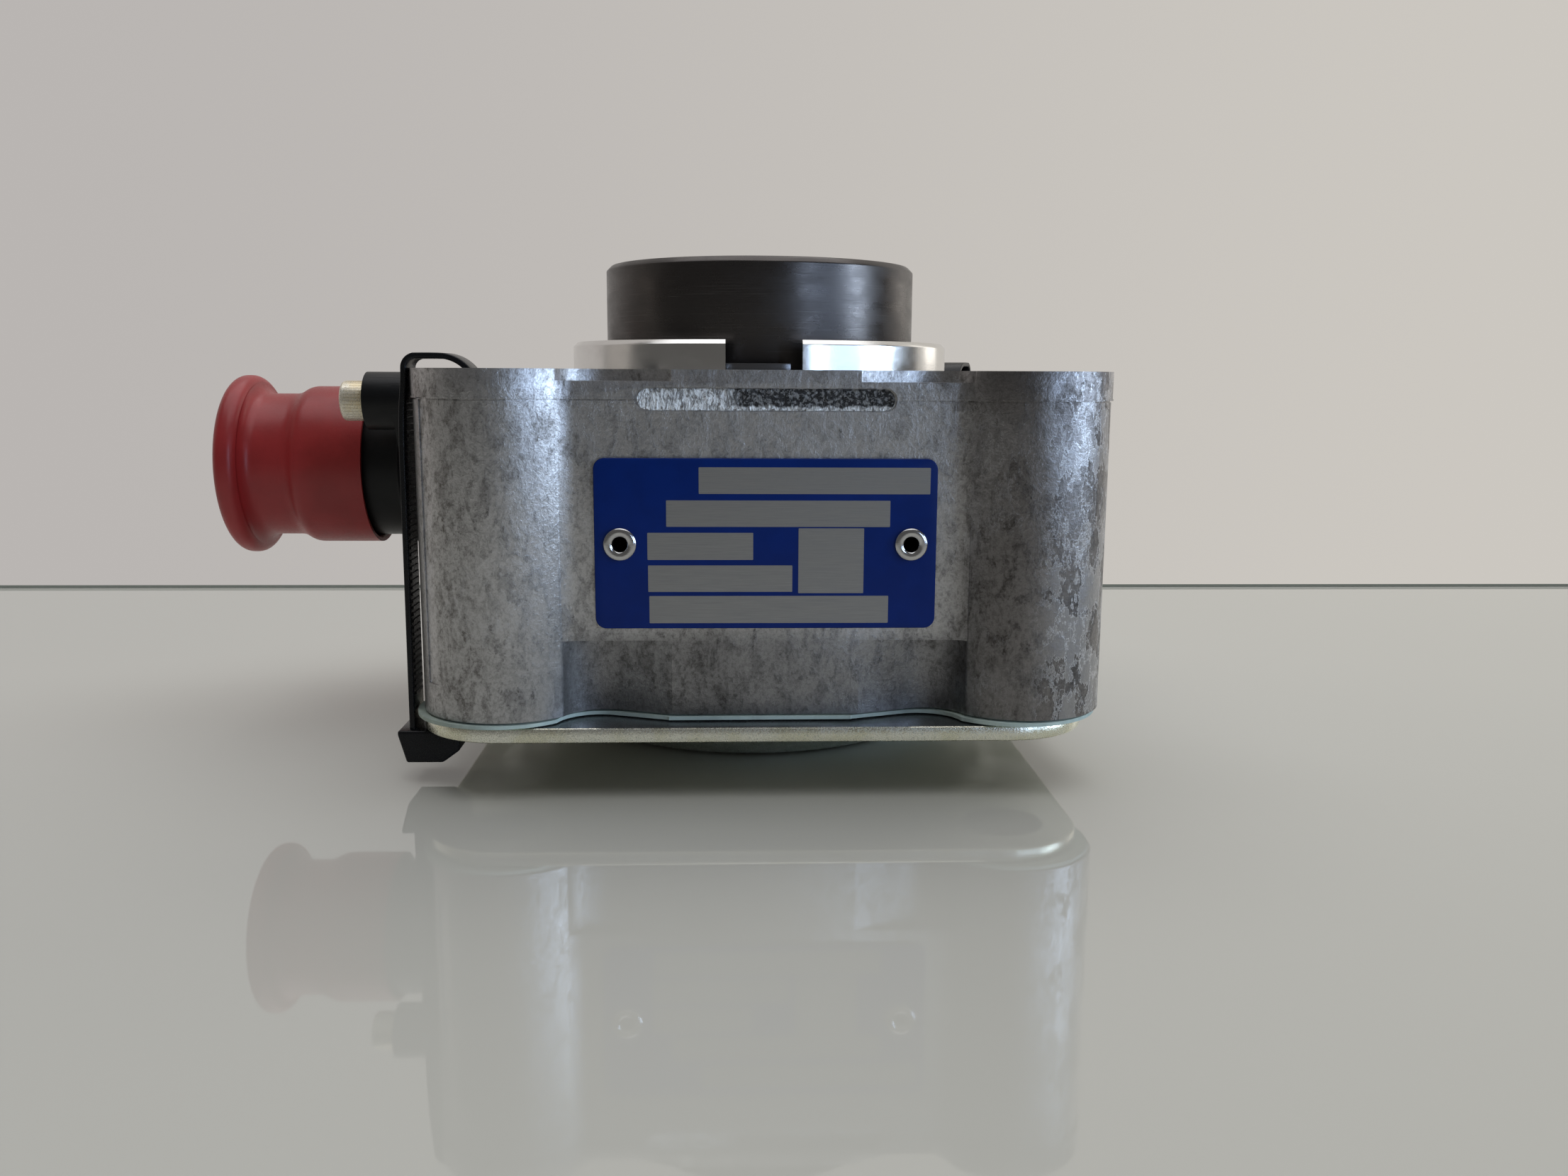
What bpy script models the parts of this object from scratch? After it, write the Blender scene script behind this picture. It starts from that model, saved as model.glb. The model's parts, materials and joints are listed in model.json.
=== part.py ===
"""Power take off unit with direct output, standing on its transport cover.

The shaft axis is the Z axis, and Z = 0 is the floor under the cover's pressed dish.
The front with the name plate faces -Y, and the position sensor is on the -X side.
All sizes are in metres, written as millimetres times mm.
"""
import bpy
import bmesh
from math import acos, asin, cos, degrees, pi, radians, sin, sqrt
from mathutils import Matrix, Vector

mm = 0.001
touch = 0.3 * mm                  # gap between pieces that touch each other
over = 2.0 * mm                   # how far a cutting shape stands out of what it cuts

# Transport cover, a zinc plated pressing
dish_depth = 12.4 * mm
cover_thickness = 3.3 * mm
cover_inset = 1.5 * mm            # behind the outside of the housing's columns
cover_corner_radius = 19.0 * mm
cover_hole_radius = 9.5 * mm
cover_offset = -2.0 * mm          # it sits a little to the left under the housing
dish_hole_gap = 5.02 * mm         # from the dish's mouth to the bolt holes
dish_step_width = 6.0 * mm
dish_step_depth = 3.6 * mm
dish_slope = 16.5 * mm            # from the step in to the flat floor
dish_bend = 6.0 * mm
dish_lap = 2.0 * mm

# Gasket
gasket_thickness = 1.0 * mm
gasket_offset = -1.2 * mm
gasket_bore_rim = 3.0 * mm        # from the cylinder out to the gasket's bore
gasket_overhang = 0.4 * mm

# Die cast housing
bolt_hole_wall = 11.1 * mm        # from the pump's screw holes out to the bolt holes
column_radius = 19.0 * mm
column_fillet = 6.0 * mm
bolt_hole_radius = 9.25 * mm
wall_inset = 7.0 * mm             # how far the flat sides lie behind the columns
band_height = 6.3 * mm            # the proud band below the top face
band_proud = 0.4 * mm
valley_depth = 5.0 * mm           # the hollows beside each column
valley_radius = 9.4 * mm
valley_inset = 22.5 * mm          # from the column's axis to the valley's
valley_run = 15.5 * mm            # from there to its shallow end
valley_height = 16.7 * mm
valley_top_height = 2.5 * mm
scar_half_length = 28.0 * mm      # where the casting's gate was broken off
scar_height = 5.0 * mm
scar_depth = 0.7 * mm
scar_drop = 6.3 * mm

# Centring collar turned on the housing
collar_wall = 3.8 * mm
collar_height = 7.0 * mm
collar_chamfer = 1.1 * mm
notch_width = 17.7 * mm

# Air cylinder bored in the housing
carrier_clip_inset = 0.9 * mm
bearing_shoulder = 2.7 * mm
bearing_shoulder_gap = 5.5 * mm   # from the snap ring out to the shoulder
pump_screw_radius = 5.1 * mm
pump_screw_wall = 4.47 * mm       # between the cylinder and each screw hole
pump_screw_depth = 22.0 * mm

# Drive bearing, 55 x 90 x 11, and its clips
drive_bearing_bore = 27.5 * mm
drive_bearing_outer = 45.0 * mm
drive_bearing_width = 11.0 * mm
drive_bearing_inset = 0.6 * mm
drive_ball_radius = 4.1 * mm
ball_groove_gap = 0.4 * mm
drive_ball_count = 10
collar_clip_thickness = 2.0 * mm
collar_clip_reach = 2.4 * mm      # how far it stands in from the bearing's outside
collar_clip_seat = 1.3 * mm
collar_clip_gap = 14.0 * mm
collar_clip_end = 6.0 * mm        # where the clip's end shows in the collar's notch
snap_ring_thickness = 1.5 * mm
snap_ring_reach = 3.0 * mm
snap_ring_seat = 1.0 * mm
snap_ring_gap = 12.0 * mm

# Output bearing, 50 x 72 x 12, with its seal and clips
output_bearing_bore = 25.0 * mm
output_bearing_outer = 36.0 * mm
output_bearing_width = 12.0 * mm
output_ball_radius = 3.1 * mm
output_ball_count = 10
carrier_clip_thickness = 2.4 * mm
carrier_clip_reach = 3.4 * mm
carrier_clip_seat = 1.7 * mm
carrier_clip_gap = 16.0 * mm
shaft_clip_thickness = 1.5 * mm
shaft_clip_reach = 2.9 * mm
shaft_clip_seat = 1.0 * mm
shaft_clip_gap = 10.0 * mm
seal_width = 7.0 * mm

# Bearing carrier
pilot_lip = 4.0 * mm
pilot_depth = 7.0 * mm
carrier_drop = 1.8 * mm           # how far its bearing stands above the chamber's floor
inner_wall_height = 15.0 * mm
inner_wall_thickness = 2.7 * mm
bearing_lip = 2.0 * mm            # the bearing's outside beyond the wall's bore
o_ring_depth = 2.0 * mm
o_ring_width = 3.0 * mm

# Shift piston, sleeve and spring
stroke = 9.0 * mm
stroke_reserve = 0.5 * mm
piston_lift = 1.5 * mm
piston_floor = 7.0 * mm
piston_height = 19.5 * mm
piston_web = 3.0 * mm
piston_web_gap = 0.5 * mm         # above the carrier's inner wall
piston_skirt_thickness = 2.6 * mm
piston_wall_thickness = 2.9 * mm
ramp_depth = 1.2 * mm
spring_room = 4.2 * mm            # between the piston's skirt and its outer wall
spring_wire = 2.6 * mm
spring_turns = 3.5
coil_gap = 0.2 * mm
tooth_count = 24
tooth_depth = 2.8 * mm
tooth_tip_share = 0.36            # of half a pitch, half a tooth's angle at its tip
tooth_root_share = 0.52
tooth_clearance = 0.35 * mm
sleeve_rise = 1.2 * mm
sleeve_tooth_length = 14.8 * mm
sleeve_wall = 2.6 * mm
sleeve_flange_gap = 0.6 * mm
sleeve_flange_thickness = 3.0 * mm
sleeve_rim = 3.9 * mm
sleeve_clip_thickness = 1.5 * mm
sleeve_clip_seat = 1.2 * mm
sleeve_clip_reach = 2.5 * mm
sleeve_clip_gap = 12.0 * mm

# Output shaft with its hub for a pump shaft of 8 x 32 x 36
shaft_drop = 6.3 * mm             # how far it stands out of the lower face
shaft_spline_length = 15.8 * mm
shaft_web = 10.0 * mm
shaft_ease = 1.0 * mm
stub_radius = 14.7 * mm
stub_length = 14.0 * mm
hub_key_count = 8
hub_minor_radius = 16.0 * mm
hub_major_radius = 18.0 * mm
hub_key_width = 6.0 * mm

# Drive sleeve, the dark ring above the collar
ring_inset = 5.0 * mm             # behind the outside of the drive bearing
ring_rise = 26.4 * mm             # top of the ring above the housing's face
ring_chamfer = 1.3 * mm
ring_wall = 6.5 * mm
ring_bore_depth = 15.0 * mm
hub_flange_reach = 5.0 * mm
hub_flange_step = 0.6 * mm
dog_shoulder = 1.5 * mm           # from the dog teeth up to the snap ring
dog_gap = 0.8 * mm
input_tooth_count = 22
input_minor_radius = 21.0 * mm
input_major_radius = 23.2 * mm
input_spline_length = 20.0 * mm
input_tip_share = 0.34
input_root_share = 0.5
bush_thickness = 3.7 * mm
bush_length = 12.0 * mm
bush_inset = 2.0 * mm

# Position sensor on the left side
sensor_to_column = 48.8 * mm
sensor_over_piston = 17.9 * mm
sensor_pad_height = 4.0 * mm
sensor_thickness = 16.4 * mm
sensor_radius = 24.0 * mm
lug_radius = 7.2 * mm
lug_rise = 7.3 * mm
lug_reach = 27.8 * mm             # each lug's place from the axis, along Y and Z
lug_height = 17.7 * mm
spigot_radius = 9.0 * mm
spigot_length = 13.0 * mm
connector_radius = 19.1 * mm
connector_length = 27.0 * mm
socket_radius = 14.0 * mm
socket_depth = 20.0 * mm
insert_thickness = 4.0 * mm
pin_radius = 1.2 * mm
pin_circle = 7.0 * mm
pin_length = 12.0 * mm
plunger_radius = 2.5 * mm
screw_head_radius = 4.97 * mm
screw_head_height = 5.9 * mm
screw_head_ease = 0.5 * mm
screw_radius = 3.0 * mm
screw_grip = 11.0 * mm
screw_socket = 2.5 * mm           # half the width across the hexagon's flats
bush_wall = 1.6 * mm

# Red protective cap
cap_wall = 1.6 * mm
cap_reserve = 2.3 * mm            # from the connector's end to the cap's cone
cap_cone_length = 3.0 * mm
cap_neck_length = 17.0 * mm
cap_neck_radius = 19.0 * mm
cap_flange_radius = 23.85 * mm
cap_flange_thickness = 6.0 * mm
cap_flange_ease = 1.6 * mm
cap_fillet = 2.0 * mm
cap_stand_off = 12.3 * mm         # from the sensor's face to the cap's rim

# Name plate and its two rivets
plate_margin = 3.65 * mm          # to the ends of the casting's flat wall
plate_height = 37.0 * mm
plate_thickness = 0.8 * mm
plate_corner = 2.4 * mm
plate_gap = 2.9 * mm              # above the valleys
rivet_inset = 5.5 * mm
rivet_head_radius = 3.6 * mm
rivet_head_thickness = 0.8 * mm
rivet_radius = 2.3 * mm
rivet_length = 4.0 * mm
rivet_bore = 1.6 * mm

# Air port on the back, with its plug
port_boss_radius = 12.0 * mm
port_boss_height = 3.0 * mm
port_radius = 6.0 * mm
port_depth = 12.0 * mm
port_bore = 2.0 * mm
plug_head_radius = 9.0 * mm
plug_head_height = 5.0 * mm
plug_ease = 0.8 * mm

# Cable ties that hold the cover on
strap_width = 9.0 * mm
strap_thickness = 1.3 * mm
strap_play = 2.5 * mm             # the strap's play at the top of the bolt hole
strap_bend = 8.0 * mm
strap_bow = 1.0 * mm              # how far it springs off the column
strap_bow_drop = 18.0 * mm        # and where, below the housing's face
strap_ledge = 2.0 * mm            # upright run above the cover
strap_tuck = 8.0 * mm
loop_rise = 3.3 * mm              # top of the loop above the housing's face
tie_head_lip = 2.4 * mm           # beyond the outside of the strap
tie_head_length = 13.7 * mm
tie_head_width = 12.0 * mm
tie_head_height = 7.4 * mm
tie_head_taper = 1.8 * mm         # how far its outer end slopes in towards the foot
tie_head_foot = 8.1 * mm          # its length at the foot
tie_head_corner = 2.75 * mm       # the height of the slope at its inner end
rear_tie_angle = 66.0             # degrees, direction of the rear tie from the column's axis

# Sizes and places worked out from the ones above
inner_wall_bore = output_bearing_outer - bearing_lip
piston_bore = inner_wall_bore + inner_wall_thickness + touch
piston_skirt_radius = piston_bore + piston_skirt_thickness
piston_wall_bore = piston_skirt_radius + spring_room
piston_radius = piston_wall_bore + piston_wall_thickness
cylinder_radius = piston_radius + touch
spring_radius = (piston_skirt_radius + piston_wall_bore) / 2
pump_screw_circle = cylinder_radius + pump_screw_wall + pump_screw_radius
pump_screw_place = pump_screw_circle / sqrt(2)
column = (pump_screw_circle + pump_screw_radius + bolt_hole_wall + bolt_hole_radius) / sqrt(2)
wall_distance = column + column_radius - wall_inset
fillet_reach = column_radius + column_fillet
flat_half_width = column - sqrt(fillet_reach ** 2 - (fillet_reach - wall_inset) ** 2)
valley_centre = column - valley_inset
valley_inner_edge = valley_centre - valley_run
cover_width = 2 * (column + column_radius - cover_inset)
dish_mouth_radius = column * sqrt(2) - cover_hole_radius - dish_hole_gap
dish_step_radius = dish_mouth_radius - dish_step_width
dish_floor_radius = dish_step_radius - dish_slope
gasket_bore_radius = cylinder_radius + gasket_bore_rim
pilot_radius = output_bearing_outer + pilot_lip
bearing_shoulder_radius = drive_bearing_bore + snap_ring_reach + bearing_shoulder_gap
collar_radius = drive_bearing_outer + collar_wall
ring_radius = drive_bearing_outer - ring_inset
ring_bore = ring_radius - ring_wall
hub_flange_radius = drive_bearing_bore + hub_flange_reach
shaft_radius = output_bearing_bore - touch
tooth_tip_radius = drive_bearing_bore - touch
tooth_root_radius = tooth_tip_radius - tooth_depth
sleeve_radius = tooth_tip_radius + 2 * tooth_clearance + sleeve_wall
sleeve_flange_radius = inner_wall_bore - sleeve_flange_gap
sensor_y = column - sensor_to_column
sensor_flat = wall_distance + sensor_pad_height
plunger_reach = sqrt((cylinder_radius - ramp_depth + plunger_radius) ** 2 - sensor_y ** 2)
cap_wide_length = connector_length - cap_stand_off + cap_reserve
cap_length = cap_wide_length + cap_cone_length + cap_neck_length
plate_width = 2 * (flat_half_width - plate_margin)
rivet_spacing = plate_width - 2 * rivet_inset

# Heights of the stack, from the cover up
cover_z = dish_depth
gasket_z = cover_z + cover_thickness + touch
housing_z = gasket_z + gasket_thickness + touch
plate_z = housing_z + valley_height + plate_gap + plate_height / 2
carrier_clip_z = housing_z + carrier_clip_inset
carrier_z = carrier_clip_z + carrier_clip_thickness + touch
seal_z = carrier_z + pilot_depth + touch
shaft_clip_z = seal_z + seal_width + touch
output_bearing_z = shaft_clip_z + shaft_clip_thickness + touch
output_bearing_top = output_bearing_z + output_bearing_width
chamber_z = output_bearing_top - carrier_drop
carrier_height = chamber_z - carrier_z
inner_wall_top = chamber_z + inner_wall_height
piston_z = chamber_z + piston_lift
sensor_z = piston_z + sensor_over_piston
cylinder_top = piston_z + piston_height + stroke + stroke_reserve
bearing_seat_z = cylinder_top + bearing_shoulder
drive_bearing_z = bearing_seat_z + touch
drive_bearing_top = drive_bearing_z + drive_bearing_width
top_z = drive_bearing_top + drive_bearing_inset
housing_height = top_z - housing_z
collar_z = top_z + collar_height
spline_z = output_bearing_top + touch
spline_top = spline_z + shaft_spline_length
dog_z = spline_top + dog_gap
snap_ring_top = drive_bearing_z - touch
snap_ring_z = snap_ring_top - snap_ring_thickness - touch
dog_length = snap_ring_z - dog_shoulder - dog_z
ring_top = top_z + ring_rise
sleeve_z = output_bearing_top + sleeve_rise

STEPS_LARGE = 40
STEPS = 28
STEPS_SMALL = 12

# Rotations that turn a drawing's own Z towards a side of the unit
FACING = {
    "up": (0, 0, 0),
    "left": (radians(90), 0, radians(-90)),
    "front": (radians(90), 0, 0),
    "back": (radians(90), 0, radians(180)),
}


def collection(name):
    group = bpy.data.collections.new(name)
    bpy.context.scene.collection.children.link(group)
    return group


def material(name, colour, roughness, metallic):
    made = bpy.data.materials.new(name)
    made.use_nodes = True
    shader = made.node_tree.nodes["Principled BSDF"]
    shader.inputs["Base Color"].default_value = (*colour, 1.0)
    shader.inputs["Roughness"].default_value = roughness
    shader.inputs["Metallic"].default_value = metallic
    made.diffuse_color = (*colour, 1.0)
    return made


def add_object(name, data, group):
    made = bpy.data.objects.new(name, data)
    group.objects.link(made)
    return made


def evaluated_mesh(item):
    """The object's mesh with its modifiers, its loose curve caps welded."""
    depsgraph = bpy.context.evaluated_depsgraph_get()
    mesh = bpy.data.meshes.new_from_object(item.evaluated_get(depsgraph), depsgraph=depsgraph)
    work = bmesh.new()
    work.from_mesh(mesh)
    bmesh.ops.remove_doubles(work, verts=work.verts, dist=0.000002)
    bmesh.ops.recalc_face_normals(work, faces=work.faces)
    work.to_mesh(mesh)
    work.free()
    return mesh


def settle(item):
    """Applies the modifiers, joins the slivers that cuts leave, and shades round faces smooth."""
    mesh = evaluated_mesh(item)
    item.modifiers.clear()
    work = bmesh.new()
    work.from_mesh(mesh)
    bmesh.ops.dissolve_limit(work, angle_limit=radians(0.05), verts=work.verts, edges=work.edges)
    bmesh.ops.triangulate(work, faces=work.faces)
    if all(edge.is_manifold for edge in work.edges):
        work.to_mesh(mesh)
    work.free()
    item.data = mesh
    mesh.name = item.name
    mesh.shade_smooth()
    mesh.set_sharp_from_angle(angle=radians(32))
    return item


def area(points):
    """Signed area of a closed outline, positive when it runs anticlockwise."""
    following = points[1:] + points[:1]
    return sum(a[0] * b[1] - b[0] * a[1] for a, b in zip(points, following)) / 2


def turned(name, profile, group, steps=STEPS, place=(0, 0, 0), facing="up"):
    """Turns a closed profile of (radius, height) points about its axis."""
    points = list(profile)
    if area(points) > 0:
        points.reverse()
    open_ends = [i for i, p in enumerate(points) if p[0] < 1e-7]
    if open_ends:
        while not (points[0][0] < 1e-7 and points[-1][0] < 1e-7):
            points.append(points.pop(0))
    mesh = bpy.data.meshes.new(name)
    edges = [(i, i + 1) for i in range(len(points) - 1)]
    if not open_ends:
        edges.append((len(points) - 1, 0))
    mesh.from_pydata([(r, 0, z) for r, z in points], edges, [])
    made = add_object(name, mesh, group)
    screw = made.modifiers.new("Turn", "SCREW")
    screw.steps = steps
    screw.render_steps = steps
    screw.use_merge_vertices = True
    screw.merge_threshold = 0.00001
    settle(made)
    made.location = place
    made.rotation_euler = FACING[facing]
    return made


def prism(name, outlines, thickness, group, place=(0, 0, 0), facing="up"):
    """Extrudes flat outlines; an outline inside another one is a hole."""
    curve = bpy.data.curves.new(name, "CURVE")
    curve.dimensions = "2D"
    curve.fill_mode = "BOTH"
    curve.extrude = thickness / 2
    for outline in outlines:
        spline = curve.splines.new("POLY")
        spline.points.add(len(outline) - 1)
        spline.use_cyclic_u = True
        for point, (x, y) in zip(spline.points, outline):
            point.co = (x, y, 0, 1)
    drawn = add_object(name + " drawing", curve, group)
    mesh = evaluated_mesh(drawn)
    bpy.data.objects.remove(drawn)
    mesh.transform(Matrix.Translation((0, 0, thickness / 2)))
    mesh.shade_smooth()
    mesh.set_sharp_from_angle(angle=radians(32))
    made = add_object(name, mesh, group)
    made.location = place
    made.rotation_euler = FACING[facing]
    return made


def rod(radius, z0, z1):
    return [(0, z0), (radius, z0), (radius, z1), (0, z1)]


def tube(bore, outer, z0, z1):
    return [(bore, z0), (outer, z0), (outer, z1), (bore, z1)]


def arc(cx, cy, radius, start, end, count):
    """Points along an arc, from one angle to another in radians."""
    angles = [start + (end - start) * i / count for i in range(count + 1)]
    return [(cx + radius * cos(a), cy + radius * sin(a)) for a in angles]


def circle(cx, cy, radius, count=STEPS):
    return arc(cx, cy, radius, 0, 2 * pi * (count - 1) / count, count - 1)


def turn_points(points, angle):
    return [(x * cos(angle) - y * sin(angle), x * sin(angle) + y * cos(angle)) for x, y in points]


def shift_points(points, dx, dy):
    return [(x + dx, y + dy) for x, y in points]


def rounded_rectangle(width, height, radius, count=6):
    points = []
    for quarter, (sx, sy) in enumerate(((1, 1), (-1, 1), (-1, -1), (1, -1))):
        cx = sx * (width / 2 - radius)
        cy = sy * (height / 2 - radius)
        points += arc(cx, cy, radius, quarter * pi / 2, (quarter + 1) * pi / 2, count)
    return points


def hull(circles, count=12):
    """Outline of a belt around some circles, given as (x, y, radius), as a convex hull."""
    points = sorted(p for x, y, r in circles for p in circle(x, y, r, 4 * count))
    chain = []
    for run in (points, points[::-1]):
        part = []
        for p in run:
            while len(part) > 1 and area([part[-2], part[-1], p]) <= 0:
                part.pop()
            part.append(p)
        chain += part[:-1]
    return chain


def casting_outline(grow=0.0):
    """The housing's outline: four round columns joined by flat walls with fillets."""
    radius = column_radius + grow
    wall = wall_distance + grow
    reach = radius + column_fillet
    across = wall + column_fillet - column
    fillet_x = column - sqrt(reach ** 2 - across ** 2)
    lean = asin(across / reach)
    side = arc(-fillet_x, -wall - column_fillet, column_fillet, pi / 2 + (pi / 2 - lean), pi / 2, 3)
    side = side + [(-x, y) for x, y in reversed(side)]
    sweep_start = lean - pi
    outline = []
    for quarter in range(4):
        outline += turn_points(side, quarter * pi / 2)
        corner = arc(column, -column, radius, sweep_start, sweep_start + 2 * (3 * pi / 4 - lean), 10)
        outline += turn_points(corner[1:-1], quarter * pi / 2)
    return outline


def join(item, *others, solver="EXACT"):
    for other in others:
        step = item.modifiers.new("Join " + other.name, "BOOLEAN")
        step.operation = "UNION"
        step.solver = solver
        step.object = other


def cut(item, *cutters, solver="EXACT"):
    for cutter in cutters:
        step = item.modifiers.new("Cut " + cutter.name, "BOOLEAN")
        step.operation = "DIFFERENCE"
        step.solver = solver
        step.object = cutter


def box(name, low, high, group):
    mesh = bpy.data.meshes.new(name)
    work = bmesh.new()
    bmesh.ops.create_cube(work, size=1)
    size = [b - a for a, b in zip(low, high)]
    middle = [(a + b) / 2 for a, b in zip(low, high)]
    work.transform(Matrix.Translation(middle) @ Matrix.Diagonal((*size, 1)))
    work.to_mesh(mesh)
    work.free()
    return add_object(name, mesh, group)


def ribbon(path, thickness):
    """Outline of a strip of even thickness along a path."""
    sides = ([], [])
    for i, (x, y) in enumerate(path):
        before = path[max(i - 1, 0)]
        after = path[min(i + 1, len(path) - 1)]
        first = Vector((x - before[0], y - before[1])).normalized()
        second = Vector((after[0] - x, after[1] - y)).normalized()
        along = (first + second).normalized()
        half = thickness / 2 / max(along.dot(first) if first.length else along.dot(second), 0.5)
        for side, sign in zip(sides, (1, -1)):
            side.append((x - along.y * half * sign, y + along.x * half * sign))
    return sides[0] + sides[1][::-1]


def toothed(count, tip_radius, root_radius, tip_half_angle, root_half_angle, land=1):
    """Outline of a shaft with straight sided teeth."""
    outline = []
    for i in range(count):
        middle = 2 * pi * i / count
        gap_end = middle + 2 * pi / count - root_half_angle
        outline.append((root_radius, middle - root_half_angle))
        outline.append((tip_radius, middle - tip_half_angle))
        outline.append((tip_radius, middle + tip_half_angle))
        start = middle + root_half_angle
        outline += [(root_radius, start + (gap_end - start) * k / land) for k in range(land)]
    return [(r * cos(a), r * sin(a)) for r, a in outline]


def male_teeth():
    pitch = pi / tooth_count
    return toothed(tooth_count, tooth_tip_radius, tooth_root_radius,
                   pitch * tooth_tip_share, pitch * tooth_root_share)


def female_teeth():
    pitch = pi / tooth_count
    tip = tooth_tip_radius + tooth_clearance
    root = tooth_root_radius + tooth_clearance
    side = tooth_clearance / root
    return toothed(tooth_count, tip, root, pitch * tooth_tip_share + side,
                   pitch * tooth_root_share + side)


def in_box_corners(half):
    return [(half * sx, half * sy) for sx in (-1, 1) for sy in (-1, 1)]


def valley_outlines():
    """The hollows in the wall beside each column, seen from above."""
    centre_y = -wall_distance - valley_radius + valley_depth
    tip = touch
    valley = hull([(valley_centre, centre_y, valley_radius),
                   (valley_inner_edge, -wall_distance - tip, tip)], 5)
    mirrored = [(-x, y) for x, y in reversed(valley)]
    return [turn_points(v, q * pi / 2) for q in range(4) for v in (valley, mirrored)]


def cavity_profile():
    """The turned bore through the housing, from below its lower face to above the collar."""
    groove = cylinder_radius + carrier_clip_seat + touch
    clip_low = carrier_clip_z - touch
    clip_high = carrier_clip_z + carrier_clip_thickness + touch
    collar_bore = drive_bearing_outer + touch
    collar_groove = drive_bearing_outer + collar_clip_seat + touch
    collar_low = drive_bearing_top
    collar_high = collar_low + collar_clip_thickness + 2 * touch
    return [
        (0, housing_z - over),
        (cylinder_radius, housing_z - over),
        (cylinder_radius, clip_low),
        (groove, clip_low),
        (groove, clip_high),
        (cylinder_radius, clip_high),
        (cylinder_radius, cylinder_top),
        (bearing_shoulder_radius, cylinder_top),
        (bearing_shoulder_radius, bearing_seat_z),
        (collar_bore, bearing_seat_z),
        (collar_bore, collar_low),
        (collar_groove, collar_low),
        (collar_groove, collar_high),
        (collar_bore, collar_high),
        (collar_bore, collar_z + over),
        (0, collar_z + over),
    ]


def lug_places():
    """Each lug's place in the sensor's own drawing, whose X runs to the front and Y up."""
    return {"upper": (lug_reach, lug_height), "lower": (-lug_reach, -lug_height)}


def sensor_hull(grow):
    circles = [(0, 0, sensor_radius + grow)]
    circles += [(u, v, lug_radius + grow) for u, v in lug_places().values()]
    return hull(circles, 7)


def make_housing(parts, cutters, finish):
    """The casting. Its many crossing cuts leave open edges with the exact solver."""
    robust = "MANIFOLD"
    body = prism("housing", [casting_outline()], housing_height - touch, parts, (0, 0, housing_z))
    band = prism("band", [casting_outline(band_proud)], band_height, cutters, (0, 0, top_z - band_height))
    collar = [(0, top_z - over), (collar_radius, top_z - over), (collar_radius, collar_z - collar_chamfer),
              (collar_radius - collar_chamfer, collar_z), (0, collar_z)]
    join(body, band, turned("collar", collar, cutters, STEPS_LARGE), solver=robust)
    low_valleys = prism("low valleys", valley_outlines(), valley_height + over, cutters,
                        (0, 0, housing_z - over))
    top_valleys = prism("top valleys", valley_outlines(), valley_top_height + over, cutters,
                        (0, 0, top_z - valley_top_height))
    cut(body, low_valleys, top_valleys, solver=robust)

    pad_depth = sensor_flat - wall_distance + over
    pad = prism("sensor pad", [sensor_hull(0.0)], pad_depth, cutters,
                (-wall_distance + over, sensor_y, sensor_z), "left")
    boss = turned("port boss", rod(port_boss_radius, -over, port_boss_height), cutters,
                  STEPS, (0, wall_distance, chamber_z), "back")
    join(body, pad, boss, solver=robust)

    columns = [circle(x, y, bolt_hole_radius, 24) for x, y in in_box_corners(column)]
    pump_screws = [circle(x, y, pump_screw_radius, STEPS_SMALL)
                   for x, y in in_box_corners(pump_screw_place)]
    cut(body, turned("bore", cavity_profile(), cutters, STEPS_LARGE),
        prism("bolt holes", columns, housing_height + 2 * over, cutters, (0, 0, housing_z - over)),
        prism("pump screw holes", pump_screws, pump_screw_depth + over, cutters,
              (0, 0, housing_z - over)),
        box("collar notch", (-notch_width / 2, -collar_radius - over, top_z),
            (notch_width / 2, -drive_bearing_outer + over, collar_z + over), cutters), solver=robust)

    scar = hull([(sign * (scar_half_length - scar_height / 2), 0, scar_height / 2) for sign in (-1, 1)], 6)
    scar_y = -wall_distance - band_proud + scar_depth
    cut(body, prism("gate scar", [scar], over, cutters,
                    (0, scar_y, top_z - scar_drop), "front"), solver=robust)

    rivet_holes = [circle(sign * rivet_spacing / 2, plate_z, rivet_radius + touch, STEPS_SMALL)
                   for sign in (-1, 1)]
    cut(body, prism("rivet holes", rivet_holes, rivet_length + over, cutters,
                    (0, -wall_distance + rivet_length, 0), "front"), solver=robust)

    sensor_face = (-sensor_flat, sensor_y, sensor_z)
    inside = [circle(u, v, screw_radius + touch, STEPS_SMALL) for u, v in lug_places().values()]
    cut(body, turned("spigot bore", rod(spigot_radius + touch, -spigot_length - touch, over), cutters,
                     STEPS, sensor_face, "left"),
        turned("plunger bore", rod(plunger_radius + touch, plunger_reach - sensor_flat - over, 0),
               cutters, STEPS_SMALL, sensor_face, "left"),
        prism("sensor screw holes", inside, screw_grip + over, cutters,
              (-sensor_flat + screw_grip, sensor_y, sensor_z), "left"), solver=robust)

    port_face = wall_distance + port_boss_height
    cut(body, turned("port", rod(port_radius, -port_depth, over), cutters, STEPS_SMALL,
                     (0, port_face, chamber_z), "back"),
        turned("port way", rod(port_bore, cylinder_radius - port_face - over, 0), cutters,
               STEPS_SMALL, (0, port_face, chamber_z), "back"), solver=robust)
    body.data.materials.append(finish)
    return body


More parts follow.
